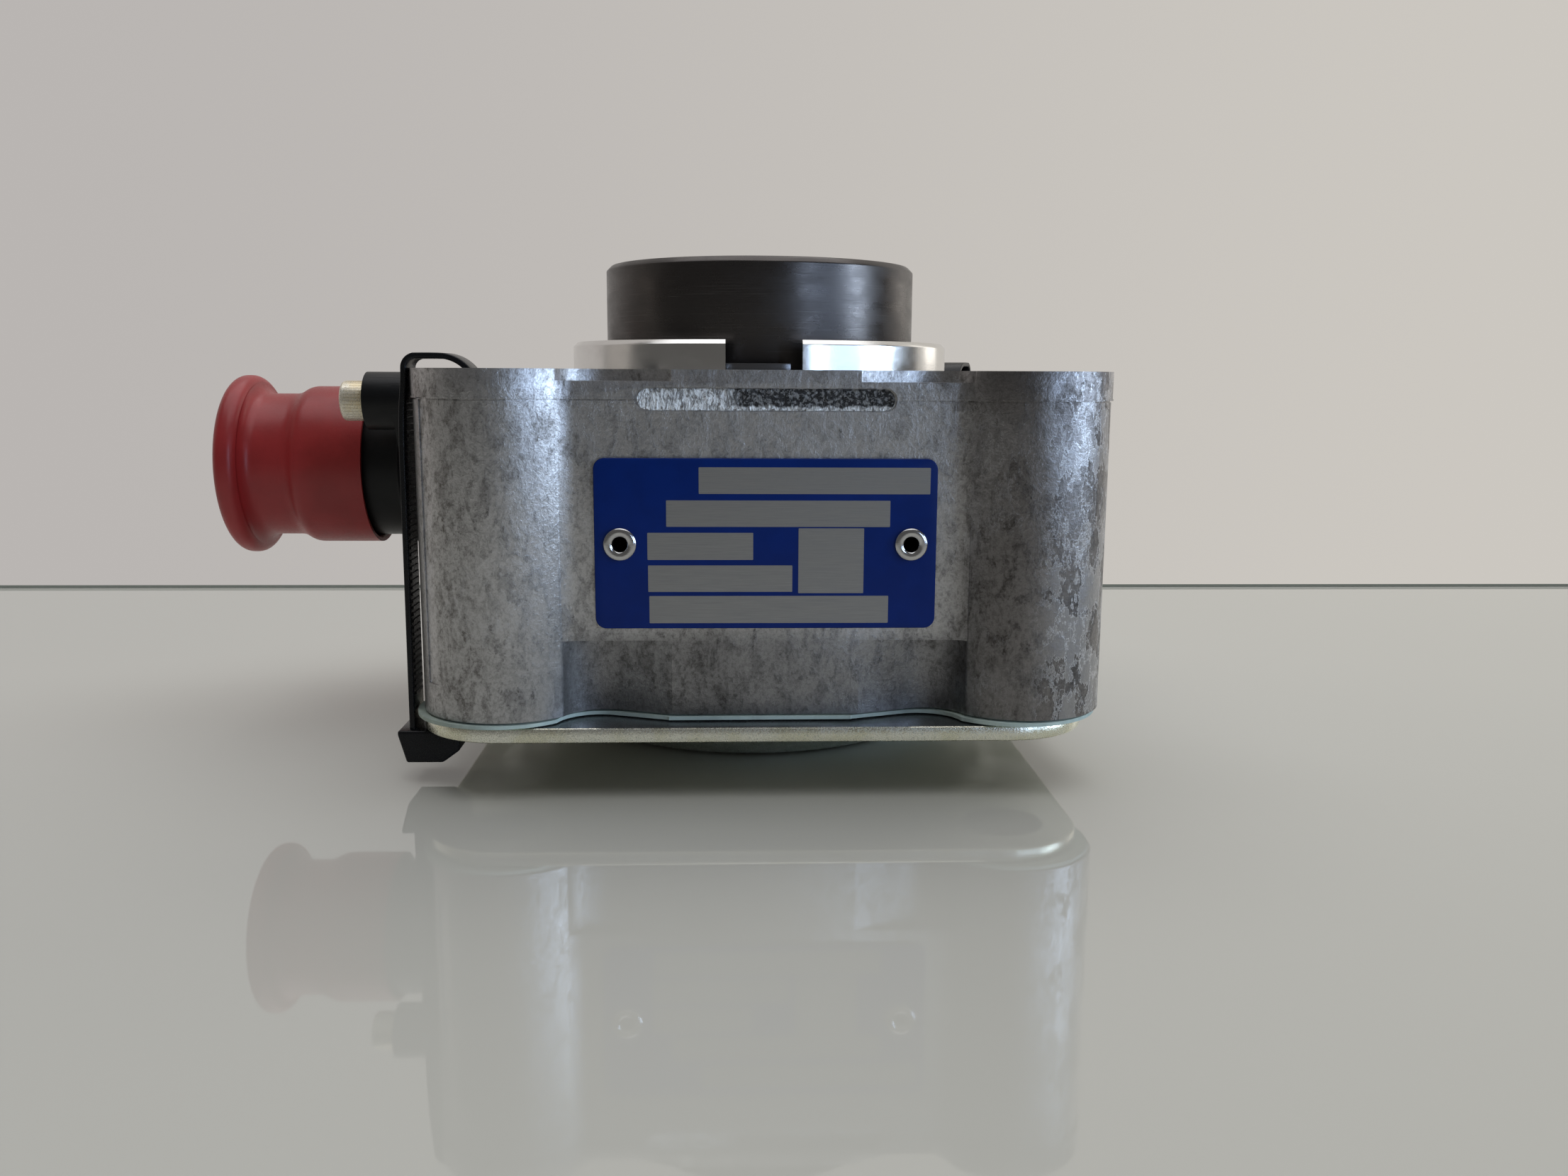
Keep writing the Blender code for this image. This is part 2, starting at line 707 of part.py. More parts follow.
def make_cover(parts, cutters, finish):
    centre = (cover_offset, 0)
    outline = shift_points(rounded_rectangle(cover_width, cover_width, cover_corner_radius, 7), *centre)
    holes = [circle(x + cover_offset, y, cover_hole_radius, 24) for x, y in in_box_corners(column)]
    mouth = circle(*centre, dish_mouth_radius + dish_lap, STEPS_LARGE)
    plate = prism("cover_plate", [outline, mouth] + holes, cover_thickness, parts, (0, 0, cover_z))

    half = cover_thickness / 2
    step_z = dish_depth - dish_step_depth
    bend = dish_bend
    path = [(0, half), (dish_floor_radius - bend / 2, half)]
    path += [(dish_floor_radius + bend / 2, half + bend / 4)]
    path += [(dish_step_radius - bend / 3, half + step_z - bend / 3), (dish_step_radius, half + step_z)]
    path += [(dish_mouth_radius - bend / 3, half + dish_depth - bend / 5),
             (dish_mouth_radius, half + dish_depth)]
    path += [(dish_mouth_radius + dish_lap + bend / 6, half + dish_depth)]
    sheet = ribbon(path, cover_thickness)
    sheet = [(max(r, 0), z) for r, z in sheet]
    dish = turned("dish", sheet, cutters, STEPS_LARGE, (cover_offset, 0, 0))
    join(plate, dish)
    plate.data.materials.append(finish)
    return plate


def make_gasket(parts, cutters, finish):
    outline = shift_points(casting_outline(gasket_overhang), gasket_offset, 0)
    bore = circle(gasket_offset, 0, gasket_bore_radius, STEPS_LARGE)
    holes = [circle(x + gasket_offset, y, cover_hole_radius + touch, 20)
             for x, y in in_box_corners(column)]
    gasket = prism("gasket", [outline, bore] + holes, gasket_thickness, parts, (0, 0, gasket_z))
    valleys = [shift_points(v, gasket_offset, 0) for v in valley_outlines()]
    cut(gasket, prism("gasket valleys", valleys, gasket_thickness + 2 * over, cutters,
                      (0, 0, gasket_z - over)))
    gasket.data.materials.append(finish)
    return gasket


def groove_arc(pitch, groove, edge, middle, side):
    """A ball groove in a ring's edge: side is 1 for the inner ring and -1 for the outer one."""
    lean = acos((pitch - edge) * side / groove)
    base = pi if side > 0 else 0
    return arc(pitch, middle, groove, base - lean, base + lean, 3)


def make_bearing(name, sizes, z, group, steel, brass):
    """A ball bearing: its outer ring, its inner ring, and its balls in their cage."""
    bore, outer, width, ball, count = sizes
    pitch = (bore + outer) / 2
    groove = ball + ball_groove_gap
    shoulder = 0.58 * groove
    middle = width / 2
    inner_edge = pitch - shoulder
    outer_edge = pitch + shoulder
    inner = [(bore, width), (bore, 0), (inner_edge, 0)]
    inner += groove_arc(pitch, groove, inner_edge, middle, 1)[::-1] + [(inner_edge, width)]
    ring = [(outer, 0), (outer, width), (outer_edge, width)]
    ring += groove_arc(pitch, groove, outer_edge, middle, -1)[::-1] + [(outer_edge, 0)]
    made = {}
    for part, profile in (("inner_ring", inner), ("outer_ring", ring)):
        made[part] = turned(name + "_" + part, profile, group, STEPS, (0, 0, z))
        made[part].data.materials.append(steel)
    wall = 0.22 * groove
    cage_half = 0.45 * ball
    cage = turned(name + "_balls", tube(pitch - wall, pitch + wall, middle - cage_half, middle + cage_half),
                  group, STEPS, (0, 0, z))
    work = bmesh.new()
    for i in range(count):
        angle = 2 * pi * i / count
        place = Matrix.Translation((pitch * cos(angle), pitch * sin(angle), middle))
        bmesh.ops.create_uvsphere(work, u_segments=6, v_segments=5, radius=ball, matrix=place)
    balls_mesh = bpy.data.meshes.new(name + " ball set")
    work.to_mesh(balls_mesh)
    work.free()
    balls = add_object(name + " ball set", balls_mesh, bpy.data.collections["cutters"])
    balls.location = (0, 0, z)
    join(cage, balls)
    cage.data.materials.append(brass)
    made["balls"] = cage
    return made


def c_clip(name, bore, outer, thickness, z, gap, angle, group, cutters, finish):
    """A retaining ring whose gap points at an angle, in degrees from +X."""
    clip = turned(name, tube(bore, outer, 0, thickness), group, STEPS, (0, 0, z))
    opening = box(name + " gap", (0, -gap / 2, -thickness), (outer * 1.2, gap / 2, thickness * 2), cutters)
    opening.location = (0, 0, z)
    opening.rotation_euler = (0, 0, radians(angle))
    cut(clip, opening)
    clip.data.materials.append(finish)
    return clip


def make_carrier(parts, cutters, steel, rubber, bright):
    outer = piston_radius
    wall = inner_wall_bore + inner_wall_thickness
    bore = output_bearing_outer + touch
    ring_z = carrier_height - piston_floor / 2 - o_ring_width
    bearing_seat = output_bearing_top + touch - carrier_z
    profile = [
        (outer, 0), (outer, ring_z), (outer - o_ring_depth, ring_z),
        (outer - o_ring_depth, ring_z + o_ring_width), (outer, ring_z + o_ring_width),
        (outer, carrier_height), (wall, carrier_height),
        (wall, carrier_height + inner_wall_height), (inner_wall_bore, carrier_height + inner_wall_height),
        (inner_wall_bore, bearing_seat), (bore, bearing_seat), (bore, pilot_depth),
        (pilot_radius, pilot_depth), (pilot_radius, 0),
    ]
    carrier = turned("bearing_carrier", profile, parts, STEPS, (0, 0, carrier_z))
    carrier.data.materials.append(steel)
    o_ring = turned("carrier_o_ring",
                    tube(outer - o_ring_depth + touch, outer, touch, o_ring_width - touch),
                    parts, STEPS, (0, 0, carrier_z + ring_z))
    o_ring.data.materials.append(rubber)
    clip = c_clip("carrier_clip", cylinder_radius - carrier_clip_reach, cylinder_radius + carrier_clip_seat,
                  carrier_clip_thickness, carrier_clip_z, carrier_clip_gap, 90, parts, cutters, bright)

    case = output_bearing_outer
    lip = shaft_radius + touch
    flange = seal_width * 0.3
    profile = [(case, 0), (case, seal_width), (case - flange, seal_width), (case - flange, flange),
               (lip + flange, flange), (lip + flange, seal_width * 0.8), (lip, seal_width * 0.6),
               (lip, seal_width * 0.5), (lip + flange / 2, 0)]
    seal = turned("shaft_seal", profile, parts, STEPS, (0, 0, seal_z))
    seal.data.materials.append(rubber)
    return carrier, o_ring, clip, seal


def make_piston(parts, steel, rubber):
    outer = piston_radius
    inner = piston_bore
    skirt = piston_skirt_radius
    wall = piston_wall_bore
    hub = sleeve_radius + touch
    web_high = inner_wall_top + piston_web_gap + piston_web - piston_z
    web_low = web_high - piston_web
    ramp_high = sensor_z - piston_z
    groove_low = (piston_floor - o_ring_width) / 2
    groove_high = groove_low + o_ring_width
    profile = [
        (outer, 0), (outer, groove_low), (outer - o_ring_depth, groove_low),
        (outer - o_ring_depth, groove_high), (outer, groove_high),
        (outer, ramp_high - stroke), (outer - ramp_depth, ramp_high), (outer - ramp_depth, piston_height),
        (wall, piston_height), (wall, piston_floor), (skirt, piston_floor), (skirt, web_high),
        (hub, web_high), (hub, web_low), (inner, web_low),
        (inner, groove_high), (inner + o_ring_depth, groove_high),
        (inner + o_ring_depth, groove_low), (inner, groove_low), (inner, 0),
    ]
    piston = turned("shift_piston", profile, parts, STEPS, (0, 0, piston_z))
    piston.data.materials.append(steel)
    ring_low = piston_z + groove_low + touch
    ring_high = o_ring_width - 2 * touch
    outer_ring = turned("piston_outer_ring", tube(outer - o_ring_depth + touch, outer, 0, ring_high),
                        parts, STEPS, (0, 0, ring_low))
    inner_ring = turned("piston_inner_ring", tube(inner, inner + o_ring_depth - touch, 0, ring_high),
                        parts, STEPS, (0, 0, ring_low))
    for ring in (outer_ring, inner_ring):
        ring.data.materials.append(rubber)
    return piston, outer_ring, inner_ring


def make_spring(parts, finish):
    half = spring_wire / 2
    low = piston_z + piston_floor + touch + half
    high = cylinder_top - touch - half
    closed = 0.75
    closed_pitch = spring_wire + coil_gap
    pitch = (high - low - 2 * closed * closed_pitch) / (spring_turns - 2 * closed)
    per_turn = 16
    curve = bpy.data.curves.new("return_spring", "CURVE")
    curve.dimensions = "3D"
    curve.bevel_depth = half
    curve.bevel_resolution = 1
    curve.use_fill_caps = True
    spline = curve.splines.new("POLY")
    count = int(spring_turns * per_turn)
    spline.points.add(count)
    for i, point in enumerate(spline.points):
        turn = i / per_turn
        rise = closed_pitch * min(turn, closed) + pitch * max(0, min(turn, spring_turns - closed) - closed)
        rise += closed_pitch * max(0, turn - (spring_turns - closed))
        angle = 2 * pi * turn
        point.co = (spring_radius * cos(angle), spring_radius * sin(angle), rise, 1)
    drawn = add_object("spring drawing", curve, parts)
    mesh = evaluated_mesh(drawn)
    bpy.data.objects.remove(drawn)
    mesh.shade_smooth()
    spring = add_object("return_spring", mesh, parts)
    spring.location = (0, 0, low)
    spring.data.materials.append(finish)
    return spring


def make_shift_sleeve(parts, cutters, steel, bright):
    bore = tooth_root_radius + tooth_clearance - touch
    counterbore = tooth_tip_radius + 2 * tooth_clearance
    web_low = inner_wall_top + piston_web_gap - sleeve_z
    flange_high = web_low - touch
    clip_low = web_low + piston_web + touch
    clip_high = clip_low + sleeve_clip_thickness + touch
    clip_seat = sleeve_radius - sleeve_clip_seat
    length = sleeve_tooth_length + sleeve_rim
    profile = [
        (sleeve_radius, 0), (sleeve_radius, flange_high - sleeve_flange_thickness),
        (sleeve_flange_radius, flange_high - sleeve_flange_thickness), (sleeve_flange_radius, flange_high),
        (sleeve_radius, flange_high), (sleeve_radius, clip_low), (clip_seat, clip_low),
        (clip_seat, clip_high), (sleeve_radius, clip_high),
        (sleeve_radius, length), (counterbore, length), (counterbore, sleeve_tooth_length),
        (bore, sleeve_tooth_length), (bore, 0),
    ]
    sleeve = turned("shift_sleeve", profile, parts, STEPS, (0, 0, sleeve_z))
    cut(sleeve, prism("sleeve teeth", [female_teeth()], sleeve_tooth_length + over + touch, cutters,
                      (0, 0, sleeve_z - over)))
    sleeve.data.materials.append(steel)
    clip = c_clip("shift_sleeve_clip", clip_seat + touch, sleeve_radius + sleeve_clip_reach,
                  sleeve_clip_thickness, sleeve_z + clip_low, sleeve_clip_gap, 90, parts, cutters, bright)
    return sleeve, clip


def make_output_shaft(parts, cutters, steel, bright):
    bottom = housing_z - shaft_drop
    core = tooth_root_radius - touch
    stub_top = spline_top + stub_length
    seat = shaft_clip_z
    web_low = spline_top - shaft_web
    neck = shaft_radius - shaft_clip_seat
    ease = shaft_ease
    profile = [
        (shaft_radius - ease, bottom), (shaft_radius, bottom + ease), (shaft_radius, seat - touch / 3),
        (neck, seat - touch / 3), (neck, seat + shaft_clip_thickness),
        (shaft_radius, seat + shaft_clip_thickness), (shaft_radius, spline_z), (core, spline_z + touch),
        (core, spline_top), (stub_radius, spline_top), (stub_radius, stub_top - ease),
        (stub_radius - ease, stub_top), (0, stub_top), (0, web_low),
        (hub_minor_radius - touch, web_low), (hub_minor_radius - touch, bottom),
    ]
    profile = [(r, z - bottom) for r, z in profile]
    shaft = turned("output_shaft", profile, parts, STEPS, (0, 0, bottom))
    join(shaft, prism("shaft teeth", [male_teeth()], shaft_spline_length, cutters, (0, 0, spline_z)))
    key = asin(hub_key_width / 2 / hub_major_radius)
    hub = toothed(hub_key_count, hub_major_radius, hub_minor_radius, key,
                  asin(hub_key_width / 2 / hub_minor_radius), 2)
    cut(shaft, prism("hub keyways", [hub], web_low - bottom + over, cutters, (0, 0, bottom - over)),
        solver="MANIFOLD")
    shaft.data.materials.append(steel)
    clip = c_clip("output_shaft_clip", neck + touch, shaft_radius + shaft_clip_reach,
                  shaft_clip_thickness - touch, shaft_clip_z + touch / 3, shaft_clip_gap, 0,
                  parts, cutters, bright)
    return shaft, clip


def make_drive_sleeve(parts, cutters, dark, bronze, bright):
    seat = drive_bearing_bore - touch
    clip_seat = seat - snap_ring_seat
    flange_low = drive_bearing_top + touch
    ring_low = flange_low + hub_flange_step
    pilot = stub_radius + touch + bush_thickness + touch
    bore_low = ring_top - ring_bore_depth
    spline_low = bore_low - input_spline_length
    dog_top = dog_z + dog_length
    neck = tooth_root_radius - touch
    profile = [
        (neck, dog_z + touch), (neck, dog_top), (seat, dog_top + touch), (seat, snap_ring_z),
        (clip_seat, snap_ring_z), (clip_seat, snap_ring_top), (seat, snap_ring_top), (seat, flange_low),
        (hub_flange_radius, flange_low),
        (hub_flange_radius, ring_low), (ring_radius, ring_low), (ring_radius, ring_top - ring_chamfer),
        (ring_radius - ring_chamfer, ring_top), (ring_bore, ring_top), (ring_bore, bore_low),
        (pilot, bore_low), (pilot, dog_z + touch),
    ]
    profile = [(r, z - dog_z) for r, z in profile]
    sleeve = turned("drive_sleeve", profile, parts, STEPS_LARGE, (0, 0, dog_z))
    join(sleeve, prism("dog teeth", [male_teeth(), circle(0, 0, pilot + touch)], dog_length, cutters,
                       (0, 0, dog_z)))
    pitch = pi / input_tooth_count
    bore = toothed(input_tooth_count, input_major_radius, input_minor_radius,
                   pitch * input_tip_share, pitch * input_root_share)
    cut(sleeve, prism("input spline", [bore], input_spline_length + over, cutters, (0, 0, spline_low)))
    sleeve.data.materials.append(dark)
    bush = turned("pilot_bush", tube(stub_radius + touch, pilot - touch, 0, bush_length), parts, STEPS,
                  (0, 0, dog_z + bush_inset))
    bush.data.materials.append(bronze)
    clip = c_clip("drive_sleeve_clip", clip_seat + touch, drive_bearing_bore + snap_ring_reach,
                  snap_ring_thickness, snap_ring_z, snap_ring_gap, 0, parts, cutters, bright)
    return sleeve, bush, clip


def make_collar_clip(parts, cutters, finish):
    lean = degrees(asin((collar_clip_end + collar_clip_gap / 2) / drive_bearing_outer))
    return c_clip("collar_clip", drive_bearing_outer - collar_clip_reach,
                  drive_bearing_outer + collar_clip_seat, collar_clip_thickness,
                  drive_bearing_top + touch, collar_clip_gap, -90 + lean, parts, cutters, finish)


def make_sensor(parts, cutters, plastic, rubber, contact, zinc):
    face = (-sensor_flat - touch, sensor_y, sensor_z)
    body = prism("sensor_body", [sensor_hull(0.0)], sensor_thickness, parts, face, "left")
    lugs = prism("lugs", [circle(u, v, lug_radius, STEPS_SMALL + 8) for u, v in lug_places().values()],
                 sensor_thickness + lug_rise - touch, cutters,
                 (face[0] - touch, sensor_y, sensor_z), "left")
    reach = sensor_thickness + connector_length
    ring_low = -spigot_length / 3 - o_ring_width
    ring_high = ring_low + o_ring_width
    ring_seat = spigot_radius - o_ring_depth
    shell = [(0, -spigot_length), (spigot_radius, -spigot_length), (spigot_radius, ring_low),
             (ring_seat, ring_low), (ring_seat, ring_high), (spigot_radius, ring_high),
             (spigot_radius, over), (connector_radius, over), (connector_radius, reach),
             (socket_radius, reach), (socket_radius, reach - socket_depth), (0, reach - socket_depth)]
    join(body, lugs, turned("connector shell", shell, cutters, STEPS, face, "left"))
    bush_hole = [circle(u, v, screw_radius + touch + bush_wall + touch, STEPS_SMALL)
                 for u, v in lug_places().values()]
    cut(body, turned("socket", rod(socket_radius, reach - socket_depth - touch, reach + over), cutters,
                     STEPS, face, "left"),
        prism("bush holes", bush_hole, sensor_thickness + lug_rise + 2 * over, cutters,
              (face[0] + over, sensor_y, sensor_z), "left"),
        turned("plunger way", rod(plunger_radius + touch, -spigot_length - over, ramp_depth + 2 * touch),
               cutters, STEPS_SMALL, face, "left"))
    body.data.materials.append(plastic)

    o_ring = turned("sensor_o_ring", tube(ring_seat + touch, spigot_radius, touch, o_ring_width - touch),
                    parts, STEPS_SMALL, (face[0] - ring_low, sensor_y, sensor_z), "left")
    o_ring.data.materials.append(rubber)

    base = reach - socket_depth
    pins = turned("connector_pins", rod(socket_radius - touch, 0, insert_thickness), parts, STEPS,
                  (face[0] - base, sensor_y, sensor_z), "left")
    pin_outlines = [circle(*p, pin_radius, STEPS_SMALL) for p in in_box_corners(pin_circle / sqrt(2))]
    join(pins, prism("pins", pin_outlines, insert_thickness + pin_length - over, cutters,
                     (face[0] - base - over, sensor_y, sensor_z), "left"))
    pins.data.materials.append(contact)

    length = sensor_flat - plunger_reach
    nose = arc(0, 0, plunger_radius, -pi / 2, 0, 4)
    plunger = turned("sensor_plunger", nose + [(plunger_radius, length), (0, length)], parts, STEPS_SMALL,
                     (-plunger_reach, sensor_y, sensor_z), "left")
    plunger.data.materials.append(zinc)
    return body, o_ring, pins, plunger


def make_sensor_screws(parts, cutters, zinc, bright):
    made = []
    height = sensor_thickness + lug_rise
    for name, (u, v) in lug_places().items():
        place = (-sensor_flat - touch, sensor_y - u, sensor_z + v)
        bore = screw_radius + touch
        bush = turned(name + "_screw_bush", tube(bore, bore + bush_wall, 0, height), parts, STEPS_SMALL,
                      place, "left")
        bush.data.materials.append(bright)
        head = height + touch
        ease = screw_head_ease
        tip = -screw_grip + 2 * touch
        top = head + screw_head_height
        profile = [(0, tip), (screw_radius, tip), (screw_radius, head), (screw_head_radius, head),
                   (screw_head_radius, top - ease), (screw_head_radius - ease, top), (0, top)]
        screw = turned(name + "_sensor_screw", profile, parts, STEPS_SMALL, place, "left")
        key = circle(0, 0, screw_socket / cos(pi / 6), 6)
        hole = prism(name + " key", [key], screw_head_height, cutters,
                     (place[0] - head - screw_head_height * 0.45, place[1], place[2]), "left")
        cut(screw, hole)
        screw.data.materials.append(zinc)
        made += [bush, screw]
    return made


def make_cap(parts, finish):
    wide = connector_radius + touch + cap_wall
    end = cap_length
    cone = cap_wide_length + cap_cone_length
    neck = cap_neck_radius
    flange = end - cap_flange_thickness
    ease = cap_flange_ease
    fillet = cap_fillet
    outer = [(wide, 0), (wide, cap_wide_length), (neck, cone), (neck, flange - fillet)]
    outer += arc(neck + fillet, flange - fillet, fillet, pi, pi / 2, 3)[1:]
    outer += arc(cap_flange_radius - ease, flange + ease, ease, -pi / 2, 0, 2)
    outer += arc(cap_flange_radius - ease, end - ease, ease, 0, pi / 2, 2)
    inner = [(0, end), (0, end - cap_wall), (neck - cap_wall, end - cap_wall), (neck - cap_wall, cone),
             (wide - cap_wall, cap_wide_length - cap_wall / 2), (wide - cap_wall, 0)]
    place = (-sensor_flat - touch - sensor_thickness - cap_stand_off, sensor_y, sensor_z)
    cap = turned("protective_cap", outer + inner, parts, STEPS_LARGE, place, "left")
    cap.data.materials.append(finish)
    return cap


def make_name_plate(parts, cutters, blue, bright):
    outline = shift_points(rounded_rectangle(plate_width, plate_height, plate_corner, 3), 0, plate_z)
    spots = [(sign * rivet_spacing / 2, plate_z) for sign in (-1, 1)]
    holes = [circle(x, z, rivet_radius + touch, STEPS_SMALL) for x, z in spots]
    plate = prism("name_plate", [outline] + holes, plate_thickness, parts,
                  (0, -wall_distance - touch, 0), "front")
    plate.data.materials.append(blue)
    made = [plate]
    under_head = -2 * touch - plate_thickness
    for side, (x, z) in zip(("left", "right"), spots):
        head = rivet_head_thickness
        shank_end = under_head - rivet_length + touch
        profile = [(rivet_bore, shank_end), (rivet_radius, shank_end),
                   (rivet_radius, 0), (rivet_head_radius, 0), (rivet_head_radius, head / 2),
                   (rivet_head_radius - head / 2, head), (rivet_bore, head)]
        rivet = turned(side + "_rivet", profile, parts, STEPS_SMALL,
                       (x, -wall_distance + under_head, z), "front")
        rivet.data.materials.append(bright)
        made.append(rivet)
    return made


def make_port_plug(parts, finish):
    shank = port_radius - touch
    depth = port_depth - touch
    ease = plug_ease
    profile = [(0, -depth), (shank - ease, -depth), (shank, -depth + ease), (shank, touch),
               (plug_head_radius, touch), (plug_head_radius, plug_head_height - ease),
               (plug_head_radius - ease, plug_head_height), (0, plug_head_height)]
    plug = turned("air_port_plug", profile, parts, STEPS_SMALL,
                  (0, wall_distance + port_boss_height, chamber_z), "back")
    plug.data.materials.append(finish)
    return plug


def cover_edge(angle):
    """How far the cover's rounded corner reaches from a column's axis, along an angle."""
    inset = cover_width / 2 - cover_corner_radius - column
    centre = Vector((inset + cover_offset * (1 if cos(angle) > 0 else -1), inset))
    along = Vector((abs(cos(angle)), abs(sin(angle))))
    near = centre.dot(along)
    aside = abs(centre.x * along.y - centre.y * along.x)
    return near + sqrt(cover_corner_radius ** 2 - aside ** 2)


def gasket_edge(angle):
    """How far the gasket's rounded corner reaches from a column's axis, along an angle."""
    aside = gasket_offset * sin(angle)
    return gasket_offset * cos(angle) + sqrt((column_radius + gasket_overhang) ** 2 - aside ** 2)


def make_tie(name, side_x, side_y, degrees_out, parts, cutters, finish):
    """A cable tie through a column's bolt hole, around the casting and the cover."""
    angle = radians(degrees_out)
    half = strap_thickness / 2
    out_top = column_radius + band_proud + touch + half
    widest = max(cover_edge(angle), gasket_edge(angle))
    out_low = max(widest + touch + half, out_top)
    across = strap_width / 2
    hole_room = sqrt(bolt_hole_radius ** 2 - across ** 2) - touch - half
    in_top = hole_room - strap_play
    hole_out = cover_offset * cos(angle)
    hole_aside = abs(cover_offset * sin(angle))
    hole_reach = hole_out + sqrt(cover_hole_radius ** 2 - (across + hole_aside) ** 2)
    in_low = min(hole_reach - touch - half, hole_room)
    top = top_z + loop_rise - half
    rise = loop_rise - half
    bend = strap_bend
    under = cover_z - touch - half
    turn = half + 4 * touch / 3
    head_top = cover_z - touch
    head_out = out_low + half + tie_head_lip
    head_in = head_out - tie_head_length
    ledge = cover_z + cover_thickness + strap_ledge
    path = [(out_low, head_top - 2 * half), (out_low, ledge)]
    path += [(out_top + strap_bow, top_z - strap_bow_drop)]
    path += arc(out_top - rise, top_z, rise, 0, pi / 2, 5)
    path += arc(in_top + bend, top - bend, bend, pi / 2, pi, 5)
    path += [(in_top, top_z - strap_tuck), (in_low, ledge)]
    path += arc(in_low + turn, under + turn, turn, pi, 3 * pi / 2, 4)
    path += [(head_in + 2 * half, under)]
    foot = head_top - tie_head_height
    foot_out = head_out - tie_head_taper
    outline = [(head_out, head_top), (foot_out, foot), (foot_out - tie_head_foot, foot),
               (head_in, foot + tie_head_corner), (head_in, head_top)]
    tie = prism(name, [ribbon(path, strap_thickness)], strap_width, parts)
    head = prism(name + " head", [outline], tie_head_width, cutters)
    aside = Vector((-sin(angle), cos(angle), 0))
    for piece, width in ((tie, strap_width), (head, tie_head_width)):
        piece.location = Vector((side_x * column, side_y * column, 0)) + aside * width / 2
        piece.rotation_euler = (radians(90), 0, angle)
    join(tie, head)
    tie.data.materials.append(finish)
    return tie


def empty(name, group, place):
    made = bpy.data.objects.new(name, None)
    made.empty_display_size = 0.02
    made.location = place
    group.objects.link(made)
    return made


def carry(parent, *pieces):
    """Parents pieces to their carrier and leaves them where they are."""
    for piece in pieces:
        piece.parent = parent
        piece.matrix_parent_inverse = Matrix.Translation(-Vector(parent.location))


def main():
    for old in list(bpy.data.objects):
        bpy.data.objects.remove(old, do_unlink=True)
    parts = collection("power take off unit")
    cutters = collection("cutters")

    cast = material("cast aluminium", (0.42, 0.41, 0.39), 0.48, 0.85)
    turned_steel = material("turned steel", (0.46, 0.46, 0.46), 0.35, 1.0)
    dark_steel = material("dark steel", (0.035, 0.034, 0.036), 0.38, 0.9)
    bearing_steel = material("bearing steel", (0.62, 0.62, 0.63), 0.2, 1.0)
    spring_steel = material("spring steel", (0.12, 0.12, 0.13), 0.35, 0.9)
    zinc = material("zinc plate", (0.60, 0.59, 0.52), 0.32, 0.95)
    brass = material("brass", (0.62, 0.46, 0.2), 0.3, 1.0)
    rubber = material("black rubber", (0.02, 0.02, 0.02), 0.8, 0.0)
    green = material("gasket paper", (0.33, 0.40, 0.33), 0.85, 0.0)
    blue = material("blue print", (0.01, 0.045, 0.30), 0.35, 0.1)
    plastic = material("black plastic", (0.02, 0.022, 0.026), 0.5, 0.0)
    red = material("red plastic", (0.52, 0.045, 0.045), 0.45, 0.0)

    housing = make_housing(parts, cutters, cast)
    cover = make_cover(parts, cutters, zinc)
    gasket = make_gasket(parts, cutters, green)
    fixed = [cover, gasket]
    fixed += make_carrier(parts, cutters, turned_steel, rubber, spring_steel)
    sizes = (output_bearing_bore, output_bearing_outer, output_bearing_width,
             output_ball_radius, output_ball_count)
    output = make_bearing("output_bearing", sizes, output_bearing_z, parts, bearing_steel, brass)
    sizes = (drive_bearing_bore, drive_bearing_outer, drive_bearing_width,
             drive_ball_radius, drive_ball_count)
    drive = make_bearing("drive_bearing", sizes, drive_bearing_z, parts, bearing_steel, brass)
    fixed += [output["outer_ring"], drive["outer_ring"], make_collar_clip(parts, cutters, spring_steel)]
    spring = make_spring(parts, spring_steel)
    piston = make_piston(parts, turned_steel, rubber)
    sleeve = make_shift_sleeve(parts, cutters, turned_steel, spring_steel)
    shaft = make_output_shaft(parts, cutters, turned_steel, spring_steel)
    drive_sleeve = make_drive_sleeve(parts, cutters, dark_steel, brass, spring_steel)
    sensor = make_sensor(parts, cutters, plastic, rubber, brass, zinc)
    fixed += [spring, *sensor[:3]]
    fixed += make_sensor_screws(parts, cutters, zinc, bearing_steel)
    cap = make_cap(parts, red)
    fixed += make_name_plate(parts, cutters, blue, bearing_steel)
    fixed += [make_port_plug(parts, plastic)]
    fixed += [make_tie("front_cable_tie", -1, -1, 180, parts, cutters, plastic),
              make_tie("rear_cable_tie", 1, 1, rear_tie_angle, parts, cutters, plastic)]

    drive_axis = empty("drive axis", parts, (0, 0, drive_bearing_z))
    output_axis = empty("output axis", parts, (0, 0, output_bearing_z))
    piston_axis = empty("piston axis", parts, (0, 0, piston_z))
    carry(drive_axis, *drive_sleeve, drive["inner_ring"])
    carry(output_axis, *shaft, output["inner_ring"], *sleeve)
    carry(piston_axis, *piston)

    for piece in list(parts.objects):
        if piece.type == "MESH" and piece.modifiers:
            settle(piece)
    for cutter in cutters.objects:
        cutter.hide_render = True
        cutter.display_type = "WIRE"
    for piece in [*fixed, drive_axis, output_axis, piston_axis, sensor[3], cap,
                  drive["balls"], output["balls"]]:
        carry(housing, piece)


main()
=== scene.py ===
import json
from math import asin, atan2, cos, pi, radians, sin, sqrt

import bmesh
import bpy
from mathutils import Matrix, Vector, noise

